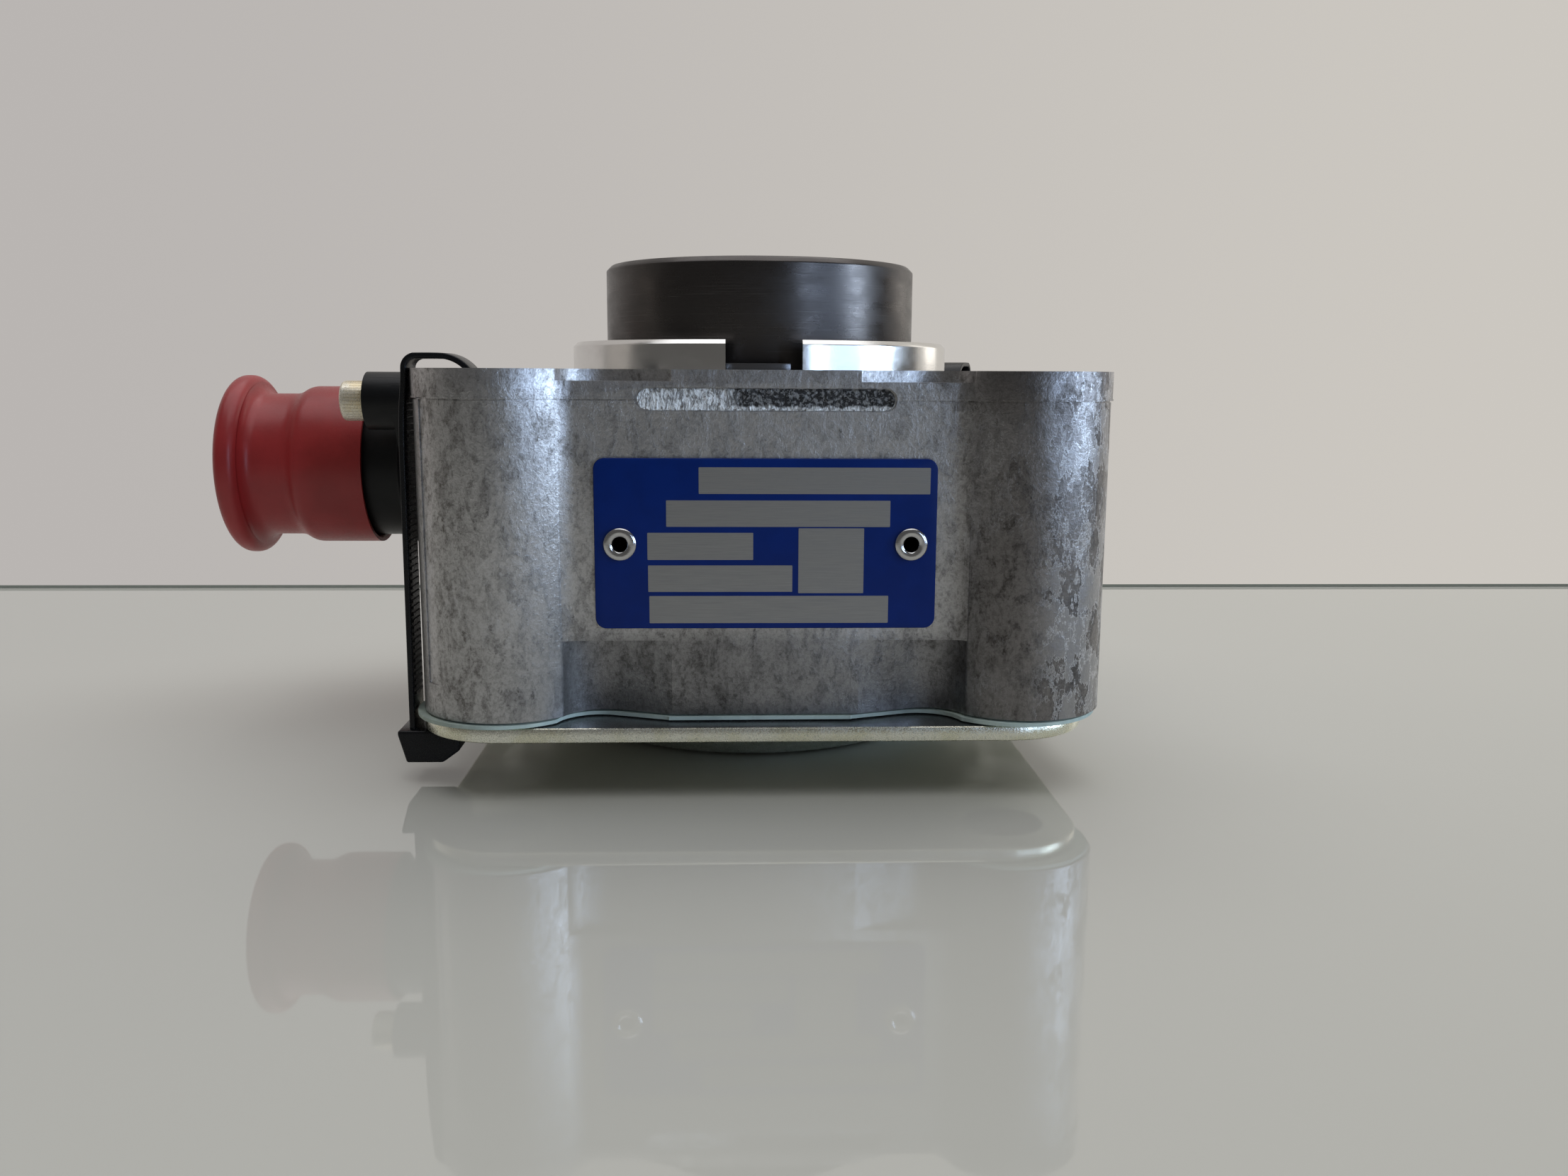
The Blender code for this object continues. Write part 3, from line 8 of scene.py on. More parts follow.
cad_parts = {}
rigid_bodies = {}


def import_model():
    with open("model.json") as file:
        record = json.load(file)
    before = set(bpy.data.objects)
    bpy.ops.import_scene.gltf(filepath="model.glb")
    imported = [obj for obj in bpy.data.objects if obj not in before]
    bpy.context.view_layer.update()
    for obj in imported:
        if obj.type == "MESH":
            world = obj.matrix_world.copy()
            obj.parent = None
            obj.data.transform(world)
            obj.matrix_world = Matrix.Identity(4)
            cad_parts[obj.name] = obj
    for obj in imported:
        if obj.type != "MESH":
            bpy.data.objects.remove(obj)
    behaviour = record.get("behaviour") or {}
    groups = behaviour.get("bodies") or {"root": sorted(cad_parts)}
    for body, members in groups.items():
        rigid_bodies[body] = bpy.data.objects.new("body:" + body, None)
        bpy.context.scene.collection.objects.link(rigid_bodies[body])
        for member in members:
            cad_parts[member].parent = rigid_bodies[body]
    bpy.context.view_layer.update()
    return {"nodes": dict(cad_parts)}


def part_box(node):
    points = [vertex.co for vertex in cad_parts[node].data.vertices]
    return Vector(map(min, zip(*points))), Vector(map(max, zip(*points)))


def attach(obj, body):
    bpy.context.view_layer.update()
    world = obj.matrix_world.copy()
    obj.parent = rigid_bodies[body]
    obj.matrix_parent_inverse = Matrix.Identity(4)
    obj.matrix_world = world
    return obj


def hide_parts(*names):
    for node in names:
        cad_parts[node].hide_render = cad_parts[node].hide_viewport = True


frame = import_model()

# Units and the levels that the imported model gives, in metres
mm = 0.001
housing_low, housing_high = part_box("housing")
cover_low, cover_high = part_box("cover_plate")
gasket_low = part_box("gasket")[0]
ring_low, ring_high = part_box("drive_sleeve")
plate_low, plate_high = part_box("name_plate")
cap_low, cap_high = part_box("protective_cap")
foot_z = housing_low.z
collar_z = housing_high.z
collar_height = 7.0 * mm
top_z = collar_z - collar_height
ring_top = ring_high.z
cover_top = cover_high.z

# Housing
column = 58.0 * mm
column_radius = 19.0 * mm
column_fillet = 6.0 * mm
wall = 70.0 * mm
bolt_hole_radius = 9.25 * mm
band_height = 6.3 * mm
band_proud = 0.3 * mm
flash_proud = 0.14 * mm
flash_height = 0.4 * mm
valley_depth = 5.0 * mm
valley_radius = 9.4 * mm
valley_centre = 35.5 * mm
valley_inner_edge = 20.0 * mm
valley_height = 16.7 * mm
valley_top_height = 2.5 * mm
collar_radius = 48.8 * mm
collar_bore = 45.3 * mm
notch_width = 17.7 * mm
shoulder_radius = 36.0 * mm
cylinder_radius = 47.0 * mm
scar_half_length = 28.0 * mm
scar_height = 5.0 * mm
scar_depth = 0.7 * mm
scar_drop = 6.3 * mm

# Ring, collar clip and input spline
ring_radius = 40.0 * mm
ring_bore = 33.5 * mm
ring_bore_depth = 15.0 * mm
flange_radius = 32.5 * mm
hub_radius = 27.2 * mm
hub_neck = 24.1 * mm
pilot_radius = 19.0 * mm
spline_teeth = 22
spline_minor = 21.0 * mm
spline_major = 23.2 * mm
spline_length = 20.0 * mm
dog_teeth = 24
dog_length = 11.2 * mm
dog_tip = 26.85 * mm
dog_root = 24.05 * mm

# Cover and gasket
cover_offset = (cover_low.x + cover_high.x) / 2
cover_half = (cover_high.x - cover_low.x) / 2
cover_corner = 19.0 * mm
cover_hole_radius = 9.5 * mm
cover_thickness = 3.3 * mm
dish_depth = 12.4 * mm
dish_mouth = 67.5 * mm
dish_step = 61.5 * mm
dish_step_depth = 3.6 * mm
dish_floor = 45.0 * mm
gasket_offset = -1.2 * mm
gasket_overhang = 0.4 * mm
gasket_bore = 50.0 * mm

# Sensor, cap and screws
sensor_y = 9.2 * mm
sensor_z = 66.9 * mm
sensor_face = -74.3 * mm
sensor_thickness = 16.4 * mm
sensor_radius = 24.0 * mm
lug_radius = 7.2 * mm
lug_rise = 7.3 * mm
lug_reach = 27.8 * mm
lug_height = 17.7 * mm
connector_radius = 19.1 * mm
connector_length = 27.0 * mm
socket_radius = 14.0 * mm
socket_depth = 20.0 * mm
cap_wall = 1.6 * mm
cap_neck = 19.0 * mm
cap_flange_radius = 23.85 * mm
cap_flange_thickness = 6.0 * mm
cap_wide_length = 17.0 * mm
cap_cone_length = 3.0 * mm

# Name plate: field limits from its centre, as left, right, low, high
plate_fields = [
    (-14.5, 35.4, 10.9, 16.6),
    (-21.5, 26.8, 3.8, 9.5),
    (-25.6, -2.8, -3.4, 2.5),
    (-25.5, 5.7, -10.4, -4.6),
    (7.0, 21.2, -10.7, 3.5),
    (-25.3, 26.7, -17.3, -11.3),
]
plate_z = (plate_low.z + plate_high.z) / 2
rivet_spacing = 63.0 * mm
rivet_hole = 2.6 * mm

# Cable ties
strap_width = 9.0 * mm
strap_thickness = 1.3 * mm
strap_bend = 8.0 * mm
strap_bow = 1.0 * mm
strap_bow_drop = 18.0 * mm
loop_rise = 3.3 * mm
head_lip = 2.4 * mm
head_length = 13.7 * mm
head_width = 12.0 * mm
head_height = 7.4 * mm
head_taper = 1.8 * mm
head_foot = 8.1 * mm
head_corner = 2.75 * mm
strap_play = 2.5 * mm
rear_tie_angle = 66.0

# Camera, fitted to the photograph, which is 2212 by 1659 pixels
photo_width = 2212
focal_pixels = 1793.5
camera_place = (-7.2 * mm, -343.6 * mm, 91.4 * mm)
camera_yaw = 2.335
camera_pitch = 9.484
camera_roll = -0.328
table_back = 205.0 * mm


# Outlines and meshes

def arc(cx, cy, radius, start, end, count):
    """Points on an arc, both ends included."""
    return [(cx + radius * cos(start + (end - start) * i / count),
             cy + radius * sin(start + (end - start) * i / count)) for i in range(count + 1)]


def circle(cx, cy, radius, count=64):
    return arc(cx, cy, radius, 0, 2 * pi, count)[:-1]


def turn_points(points, angle):
    return [(x * cos(angle) - y * sin(angle), x * sin(angle) + y * cos(angle)) for x, y in points]


def shift_points(points, dx, dy):
    return [(x + dx, y + dy) for x, y in points]


def area(points):
    following = points[1:] + points[:1]
    return sum(a[0] * b[1] - b[0] * a[1] for a, b in zip(points, following)) / 2


def hull(circles, count=16):
    """Outline of a belt around some circles, given as (x, y, radius)."""
    points = sorted(p for x, y, r in circles for p in circle(x, y, r, 4 * count))
    chain = []
    for run in (points, points[::-1]):
        part = []
        for p in run:
            while len(part) > 1 and area([part[-2], part[-1], p]) <= 0:
                part.pop()
            part.append(p)
        chain += part[:-1]
    return chain


def corners(half):
    return [(half, half), (-half, half), (-half, -half), (half, -half)]


def soften(points, radius, steps=4, closed=True):
    """Rounds the corners of an outline with short curves."""
    made = []
    count = len(points)
    for i, here in enumerate(points):
        here = Vector(here)
        if not closed and i in (0, count - 1) or abs(here.x) < 1e-7:
            made.append(tuple(here))
            continue
        before = Vector(points[i - 1]) - here
        after = Vector(points[(i + 1) % count]) - here
        straight = before.normalized().dot(after.normalized()) < -0.97
        reach = min(radius, before.length * 0.45, after.length * 0.45)
        if straight or reach < 1e-6:
            made.append(tuple(here))
            continue
        start = here + before.normalized() * reach
        end = here + after.normalized() * reach
        for step in range(steps + 1):
            t = step / steps
            made.append(tuple(start * (1 - t) ** 2 + here * 2 * t * (1 - t) + end * t ** 2))
    return made


AXES = {
    "up": ((1, 0, 0), (0, 1, 0), (0, 0, 1)),
    "left": ((0, -1, 0), (0, 0, 1), (-1, 0, 0)),
    "front": ((1, 0, 0), (0, 0, 1), (0, -1, 0)),
    "back": ((-1, 0, 0), (0, 0, 1), (0, 1, 0)),
}


def placement(place, facing):
    """The matrix from a drawing (X, Y and depth) to the model."""
    turned = Matrix(AXES[facing]).transposed().to_4x4()
    return Matrix.Translation(Vector(place)) @ turned


def finish_mesh(name, work, angle=32):
    bmesh.ops.recalc_face_normals(work, faces=work.faces)
    mesh = bpy.data.meshes.new(name)
    work.to_mesh(mesh)
    work.free()
    mesh.shade_smooth()
    mesh.set_sharp_from_angle(angle=radians(angle))
    made = bpy.data.objects.new(name, mesh)
    bpy.context.scene.collection.objects.link(made)
    return made


def bridge(work, low, high, steps):
    """Faces between two rings of points, or between a ring and a single point."""
    for k in range(steps):
        j = k + 1
        face = [low[k % len(low)], low[j % len(low)], high[j % len(high)], high[k % len(high)]]
        work.faces.new(list(dict.fromkeys(face)))


def lathe(name, profile, steps=128, place=(0, 0, 0), facing="up", closed=True, start=0.0):
    """Turns a profile of (radius, height) points about its axis."""
    work = bmesh.new()
    matrix = placement(place, facing)
    rings = []
    for radius, height in profile:
        if radius < 1e-7:
            rings.append([work.verts.new(matrix @ Vector((0, 0, height)))])
        else:
            rings.append([work.verts.new(matrix @ Vector((radius * cos(start + 2 * pi * k / steps),
                                                          radius * sin(start + 2 * pi * k / steps), height)))
                          for k in range(steps)])
    pairs = list(zip(rings, rings[1:]))
    if closed:
        pairs.append((rings[-1], rings[0]))
    for low, high in pairs:
        if len(low) > 1 or len(high) > 1:
            bridge(work, low, high, steps)
    return finish_mesh(name, work)


def rod(name, radius, low, high, steps, place=(0, 0, 0), facing="up"):
    """A round tool for cutting a hole, from a low to a high level along its axis."""
    return lathe(name, [(0, low), (radius, low), (radius, high), (0, high)], steps, place, facing)


def prism(name, outline, depth, place=(0, 0, 0), facing="up"):
    """A straight block with the outline given, from its place along the depth."""
    work = bmesh.new()
    matrix = placement(place, facing)
    low = [work.verts.new(matrix @ Vector((x, y, 0))) for x, y in outline]
    high = [work.verts.new(matrix @ Vector((x, y, depth))) for x, y in outline]
    work.faces.new(low)
    work.faces.new(high)
    bridge(work, low, high, len(outline))
    return finish_mesh(name, work)


def box(name, low, high):
    outline = [(low[0], low[1]), (high[0], low[1]), (high[0], high[1]), (low[0], high[1])]
    return prism(name, outline, high[2] - low[2], (0, 0, low[2]))


def apply_modifiers(item, angle=32):
    depsgraph = bpy.context.evaluated_depsgraph_get()
    mesh = bpy.data.meshes.new_from_object(item.evaluated_get(depsgraph))
    old = item.data
    item.modifiers.clear()
    item.data = mesh
    bpy.data.meshes.remove(old)
    mesh.shade_smooth()
    mesh.set_sharp_from_angle(angle=radians(angle))
    return item


def combine(item, tools, operation, solver="MANIFOLD"):
    """Joins tools to an item or cuts them out of it, and deletes them."""
    for tool in tools:
        step = item.modifiers.new("Step", "BOOLEAN")
        step.operation = operation
        step.solver = solver
        step.object = tool
    apply_modifiers(item)
    for tool in tools:
        bpy.data.objects.remove(tool, do_unlink=True)
    return item


def join(item, *tools, solver="MANIFOLD"):
    return combine(item, tools, "UNION", solver)


def cut(item, *tools, solver="MANIFOLD"):
    return combine(item, tools, "DIFFERENCE", solver)


def merge(item, *others):
    """Puts loose solids into one object."""
    work = bmesh.new()
    work.from_mesh(item.data)
    for other in others:
        work.from_mesh(other.data)
    name = item.name
    for old in (item, *others):
        bpy.data.objects.remove(old, do_unlink=True)
    return finish_mesh(name, work)


def bevel(item, width, segments=2, angle=35, wanted=None):
    """Rounds the sharp edges, or only those whose middle passes the test."""
    work = bmesh.new()
    work.from_mesh(item.data)
    bmesh.ops.remove_doubles(work, verts=work.verts, dist=2e-6)
    bmesh.ops.dissolve_limit(work, angle_limit=radians(0.2), verts=work.verts, edges=work.edges)
    chosen = []
    for edge in work.edges:
        if len(edge.link_faces) != 2 or edge.calc_face_angle(0) < radians(angle):
            continue
        middle = (edge.verts[0].co + edge.verts[1].co) / 2
        if wanted is None or wanted(middle, edge):
            chosen.append(edge)
    bmesh.ops.bevel(work, geom=chosen, offset=width, segments=segments, profile=0.5, affect="EDGES",
                    clamp_overlap=True, offset_type="OFFSET")
    bmesh.ops.recalc_face_normals(work, faces=work.faces)
    work.to_mesh(item.data)
    work.free()
    item.data.shade_smooth()
    item.data.set_sharp_from_angle(angle=radians(32))
    return item


def dress(item, body, slot, *finishes, stands_for=()):
    """Gives a piece its finishes and its body, and hides the nodes that it stands for. The slot is not used.
    """
    item.data.materials.clear()
    for one in finishes:
        item.data.materials.append(one)
    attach(item, body)
    if stands_for:
        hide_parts(*stands_for)
    return item


# Shader parts

def node(tree, kind, **values):
    """Adds a shader node, with its settings and socket values by name."""
    made = tree.nodes.new("ShaderNode" + kind)
    for key, value in values.items():
        if hasattr(made, key):
            setattr(made, key, value)
        else:
            made.inputs[key.replace("_", " ")].default_value = value
    return made


def link(tree, source, target):
    tree.links.new(source, target)


def new_group(name, inputs, outputs):
    tree = bpy.data.node_groups.new(name, "ShaderNodeTree")
    for socket, kind, value in inputs:
        made = tree.interface.new_socket(socket, in_out="INPUT", socket_type="NodeSocket" + kind)
        made.default_value = value
    for socket, kind in outputs:
        tree.interface.new_socket(socket, in_out="OUTPUT", socket_type="NodeSocket" + kind)
    return tree, tree.nodes.new("NodeGroupInput"), tree.nodes.new("NodeGroupOutput")


def place_in_mm(tree, scale=(1, 1, 1)):
    """The place on the object in millimetres, stretched along the axes by the scale given."""
    place = node(tree, "TexCoord")
    mapping = node(tree, "Mapping")
    mapping.inputs["Scale"].default_value = [1000 * s for s in scale]
    link(tree, place.outputs["Object"], mapping.inputs["Vector"])
    return mapping.outputs["Vector"]


def grain(tree, vector, scale, detail=4.0, roughness=0.55, distortion=0.0):
    made = node(tree, "TexNoise", Scale=scale, Detail=detail, Roughness=roughness, Distortion=distortion)
    link(tree, vector, made.inputs["Vector"])
    return made.outputs["Fac"]


def between(tree, value, low, high, to_low=0.0, to_high=1.0):
    """Maps a value from one range to another, held at both ends."""
    made = node(tree, "MapRange")
    made.clamp = True
    made.interpolation_type = "SMOOTHSTEP"
    for socket, number in zip(("From Min", "From Max", "To Min", "To Max"), (low, high, to_low, to_high)):
        made.inputs[socket].default_value = number
    link(tree, value, made.inputs["Value"])
    return made.outputs["Result"]


def maths(tree, operation, first, second=None):
    made = node(tree, "Math", operation=operation)
    for socket, value in zip(made.inputs, (first, second)):
        if value is None:
            continue
        if isinstance(value, (int, float)):
            socket.default_value = value
        else:
            link(tree, value, socket)
    return made.outputs["Value"]


def blend_colours(tree, amount, first, second, mode="MIX"):
    made = node(tree, "Mix", data_type="RGBA", blend_type=mode)
    for socket, value in zip((made.inputs[0], made.inputs[6], made.inputs[7]), (amount, first, second)):
        if isinstance(value, (int, float)):
            socket.default_value = value
        elif isinstance(value, tuple):
            socket.default_value = (*value, 1.0)
        else:
            link(tree, value, socket)
    return made.outputs[2]


def cast_skin_group():
    """The skin of a die casting: stains of several sizes, fine grain, and flaky cold laps with a painted
    highlight along their rims.
    """
    tree, given, result = new_group(
        "cast skin", [("Lap", "Float", 0.0)], [("Dark", "Float"), ("Light", "Float"), ("Height", "Float")])
    flat = place_in_mm(tree)
    tall = place_in_mm(tree, (1.0, 1.0, 0.55))
    large = grain(tree, tall, 0.06, 3.0, 0.6, 0.4)
    middle = grain(tree, tall, 0.3, 7.0, 0.72, 0.5)
    small = grain(tree, flat, 1.0, 5.0, 0.65, 0.3)
    specks = between(tree, grain(tree, tall, 0.55, 5.0, 0.7), 0.6, 0.7)
    fine = grain(tree, flat, 2.8, 3.0, 0.6)
    dark = maths(tree, "ADD", maths(tree, "MULTIPLY", between(tree, middle, 0.46, 0.6), 0.4),
                 maths(tree, "MULTIPLY", between(tree, small, 0.45, 0.6), 0.26))
    dark = maths(tree, "ADD", dark, maths(tree, "MULTIPLY", between(tree, large, 0.42, 0.62), 0.18))
    dark = maths(tree, "ADD", dark, maths(tree, "MULTIPLY", between(tree, fine, 0.45, 0.62), 0.16))
    dark = maths(tree, "ADD", dark, maths(tree, "MULTIPLY", specks, 0.4))

    crinkle = node(tree, "TexNoise", Scale=0.24, Detail=6.0, Roughness=0.7)
    link(tree, tall, crinkle.inputs["Vector"])
    shift = node(tree, "VectorMath", operation="MULTIPLY_ADD")
    link(tree, crinkle.outputs["Color"], shift.inputs[0])
    shift.inputs[1].default_value = (15.0, 15.0, 15.0)
    link(tree, tall, shift.inputs[2])
    cells = node(tree, "TexVoronoi", feature="F1", Scale=0.2)
    link(tree, shift.outputs["Vector"], cells.inputs["Vector"])
    pick = node(tree, "SeparateColor")
    link(tree, cells.outputs["Color"], pick.inputs[0])
    flake = between(tree, pick.outputs[0], 0.45, 0.8)
    edges = node(tree, "TexVoronoi", feature="DISTANCE_TO_EDGE", Scale=0.2)
    link(tree, shift.outputs["Vector"], edges.inputs["Vector"])
    # Painted highlight: a light line along each lap's rim, added to the flakes' own lighter tone
    rim = between(tree, edges.outputs["Distance"], 0.05, 0.012)
    lap_tone_and_painted_rim_highlight = maths(tree, "MULTIPLY", maths(tree, "ADD", maths(tree, "MULTIPLY", flake, 0.3),
                                          maths(tree, "MULTIPLY", rim, 0.6)), given.outputs["Lap"])
    link(tree, lap_tone_and_painted_rim_highlight, result.inputs["Light"])
    flaked = maths(tree, "MULTIPLY", flake, given.outputs["Lap"])
    calm = maths(tree, "SUBTRACT", 1.0, maths(tree, "MULTIPLY", flaked, 0.35))
    link(tree, maths(tree, "MULTIPLY", dark, calm), result.inputs["Dark"])

    height = maths(tree, "ADD", maths(tree, "MULTIPLY", middle, 0.5), maths(tree, "MULTIPLY", small, 0.3))
    height = maths(tree, "ADD", height, maths(tree, "MULTIPLY", fine, 0.14))
    link(tree, maths(tree, "ADD", height, maths(tree, "MULTIPLY", flaked, 0.28)), result.inputs["Height"])
    return tree


def turned_lines_group():
    """Fine tool marks round a turned piece, along one axis of the model."""
    tree, _, result = new_group("turned lines", [], [("Height", "Float"), ("Tone", "Float")])
    lines = place_in_mm(tree, (0.02, 0.02, 3.2))
    patches = place_in_mm(tree, (0.5, 0.5, 1.0))
    fine = grain(tree, lines, 1.4, 3.0, 0.7)
    tone = grain(tree, patches, 0.16, 4.0, 0.6)
    link(tree, fine, result.inputs["Height"])
    link(tree, tone, result.inputs["Tone"])
    return tree


def speckle_group():
    """Even fine speckle with soft larger clouds, for moulded, plated and fibre pieces."""
    tree, given, result = new_group(
        "speckle", [("Size", "Float", 1.0)], [("Fine", "Float"), ("Cloud", "Float")])
    flat = place_in_mm(tree)
    fine = node(tree, "TexNoise", Detail=3.0, Roughness=0.6)
    cloud = node(tree, "TexNoise", Detail=4.0, Roughness=0.55)
    link(tree, flat, fine.inputs["Vector"])
    link(tree, flat, cloud.inputs["Vector"])
    link(tree, maths(tree, "DIVIDE", 2.6, given.outputs["Size"]), fine.inputs["Scale"])
    link(tree, maths(tree, "DIVIDE", 0.12, given.outputs["Size"]), cloud.inputs["Scale"])
    link(tree, fine.outputs["Fac"], result.inputs["Fine"])
    link(tree, cloud.outputs["Fac"], result.inputs["Cloud"])
    return tree


cast_skin = cast_skin_group()
turned_lines = turned_lines_group()
speckle = speckle_group()


def place_group(tree, group, **values):
    made = tree.nodes.new("ShaderNodeGroup")
    made.node_tree = group
    for key, value in values.items():
        made.inputs[key].default_value = value
    return made


def finish_named(name, colour, roughness, metallic=0.0, **more):
    """A new material and its Principled shader, with plain values."""
    made = bpy.data.materials.new(name)
    made.use_nodes = True
    tree = made.node_tree
    shader = tree.nodes["Principled BSDF"]
    shader.inputs["Base Color"].default_value = (*colour, 1.0)
    shader.inputs["Roughness"].default_value = roughness
    shader.inputs["Metallic"].default_value = metallic
    for key, value in more.items():
        shader.inputs[key.replace("_", " ")].default_value = value
    made.diffuse_color = (*colour, 1.0)
    return made, tree, shader


def raise_surface(tree, shader, height, depth, strength=1.0):
    """Bump of a depth in millimetres, from a height between 0 and 1."""
    bump = node(tree, "Bump", Strength=strength, Distance=depth * mm)
    link(tree, height, bump.inputs["Height"])
    link(tree, bump.outputs["Normal"], shader.inputs["Normal"])
    return bump


def cast_aluminium():
    made, tree, shader = finish_named("cast aluminium", (0.5, 0.49, 0.48), 0.4, 0.92)
    skin = place_group(tree, cast_skin)
    place = place_in_mm(tree)
    split = node(tree, "SeparateXYZ")
    link(tree, place, split.inputs["Vector"])
    right = between(tree, split.outputs["X"], 55.0, 66.0)
    patch = between(tree, grain(tree, place, 0.03, 2.0), 0.5, 0.62)
    lap = maths(tree, "MAXIMUM", right, maths(tree, "MULTIPLY", patch, 0.3))
    link(tree, lap, skin.inputs["Lap"])
    stained = blend_colours(tree, skin.outputs["Dark"], (0.58, 0.575, 0.58), (0.17, 0.16, 0.15))
    browned_and_painted_shade = blend_colours(tree, between(tree, split.outputs["X"], 34.0, 50.0, 0.0, 0.9), stained,
                            (0.36, 0.34, 0.33), "MULTIPLY")
    # Painted shade: the lower front walls between the columns, below about 35 mm, are darkened as if lit less
    low_wall_painted_shade = maths(tree, "MULTIPLY", between(tree, split.outputs["Z"], 37.0, 33.0, 0.0, 0.6),
                     between(tree, maths(tree, "ABSOLUTE", split.outputs["X"]), 46.0, 40.0))
    browned_and_painted_shade = blend_colours(tree, low_wall_painted_shade, browned_and_painted_shade, (0.4, 0.4, 0.41), "MULTIPLY")
    # The laps' lighter tone, with a painted highlight along their rims
    laps_and_painted_rim_highlight = blend_colours(tree, skin.outputs["Light"], browned_and_painted_shade, (0.74, 0.75, 0.78))
    link(tree, laps_and_painted_rim_highlight, shader.inputs["Base Color"])
    link(tree, between(tree, skin.outputs["Dark"], 0.0, 1.0, 0.29, 0.5), shader.inputs["Roughness"])
    raise_surface(tree, shader, skin.outputs["Height"], 0.3)
    return made


def milled_aluminium():
    made, tree, shader = finish_named("milled aluminium", (0.62, 0.62, 0.62), 0.34, 0.95)
    place = place_in_mm(tree)
    waves = node(tree, "TexWave", wave_type="RINGS", rings_direction="Z", Scale=0.32, Distortion=1.2,
                 Detail=2.0)
    waves.inputs["Detail Scale"].default_value = 1.5
    link(tree, place, waves.inputs["Vector"])
    tone = blend_colours(tree, grain(tree, place, 0.1, 4.0), (0.66, 0.65, 0.64), (0.46, 0.45, 0.45))
    link(tree, tone, shader.inputs["Base Color"])
    raise_surface(tree, shader, waves.outputs["Fac"], 0.05)
    return made


def turned_aluminium():
    made, tree, shader = finish_named("turned aluminium", (0.8, 0.79, 0.78), 0.2, 1.0)
    marks = place_group(tree, turned_lines)
    tone = blend_colours(tree, marks.outputs["Tone"], (0.86, 0.85, 0.83), (0.7, 0.69, 0.67))
    link(tree, tone, shader.inputs["Base Color"])
    link(tree, between(tree, marks.outputs["Tone"], 0.3, 0.7, 0.14, 0.26), shader.inputs["Roughness"])
    raise_surface(tree, shader, marks.outputs["Height"], 0.012)
    return made


def dark_steel():
    made, tree, shader = finish_named("blackened steel", (0.09, 0.082, 0.078), 0.3, 0.9)
    marks = place_group(tree, turned_lines)
    tone = blend_colours(tree, marks.outputs["Tone"], (0.1, 0.09, 0.085), (0.065, 0.06, 0.058))
    worn = blend_colours(tree, between(tree, marks.outputs["Height"], 0.62, 0.72), tone, (0.2, 0.19, 0.18))
    link(tree, worn, shader.inputs["Base Color"])
    link(tree, between(tree, marks.outputs["Tone"], 0.3, 0.7, 0.24, 0.38), shader.inputs["Roughness"])
    raise_surface(tree, shader, marks.outputs["Height"], 0.03)
    return made


def ground_steel(name, colour, roughness):
    made, tree, shader = finish_named(name, colour, roughness, 1.0)
    marks = place_group(tree, turned_lines)
    shade = tuple(c * 0.7 for c in colour)
    link(tree, blend_colours(tree, marks.outputs["Tone"], colour, shade), shader.inputs["Base Color"])
    raise_surface(tree, shader, marks.outputs["Height"], 0.01)
    return made


def plated_sheet(name, colour, tint, roughness, depth=0.03, metallic=0.95):
    """Zinc plate: spangled, with clouds of a second tint."""
    made, tree, shader = finish_named(name, colour, roughness, metallic)
    marks = place_group(tree, speckle, Size=1.0)
    cloudy = blend_colours(tree, between(tree, marks.outputs["Cloud"], 0.4, 0.62), colour, tint)
    dull = tuple(c * 0.62 for c in colour)
    grainy = blend_colours(tree, between(tree, marks.outputs["Fine"], 0.55, 0.75), cloudy, dull)
    link(tree, grainy, shader.inputs["Base Color"])
    link(tree, between(tree, marks.outputs["Fine"], 0.35, 0.65, roughness - 0.07, roughness + 0.12),
         shader.inputs["Roughness"])
    raise_surface(tree, shader, marks.outputs["Fine"], depth)
    return made


def moulded(name, colour, roughness, size=1.0, depth=0.02, shade=0.75, **more):
    """Plastic, rubber or fibre with a fine even grain."""
    made, tree, shader = finish_named(name, colour, roughness, 0.0, **more)
    marks = place_group(tree, speckle, Size=size)
    dull = tuple(c * shade for c in colour)
    link(tree, blend_colours(tree, between(tree, marks.outputs["Cloud"], 0.35, 0.65), colour, dull),
         shader.inputs["Base Color"])
    link(tree, between(tree, marks.outputs["Fine"], 0.3, 0.7, roughness - 0.06, roughness + 0.06),
         shader.inputs["Roughness"])
    raise_surface(tree, shader, marks.outputs["Fine"], depth)
    return made


def brushed_field():
    made, tree, shader = finish_named("brushed field", (0.5, 0.5, 0.51), 0.34, 0.9)
    strokes = place_in_mm(tree, (0.12, 1.0, 7.0))
    lines = grain(tree, strokes, 1.0, 3.0, 0.7)
    tone = blend_colours(tree, lines, (0.5, 0.5, 0.5), (0.26, 0.26, 0.26))
    link(tree, tone, shader.inputs["Base Color"])
    link(tree, between(tree, lines, 0.3, 0.7, 0.28, 0.42), shader.inputs["Roughness"])
    raise_surface(tree, shader, lines, 0.01)
    return made


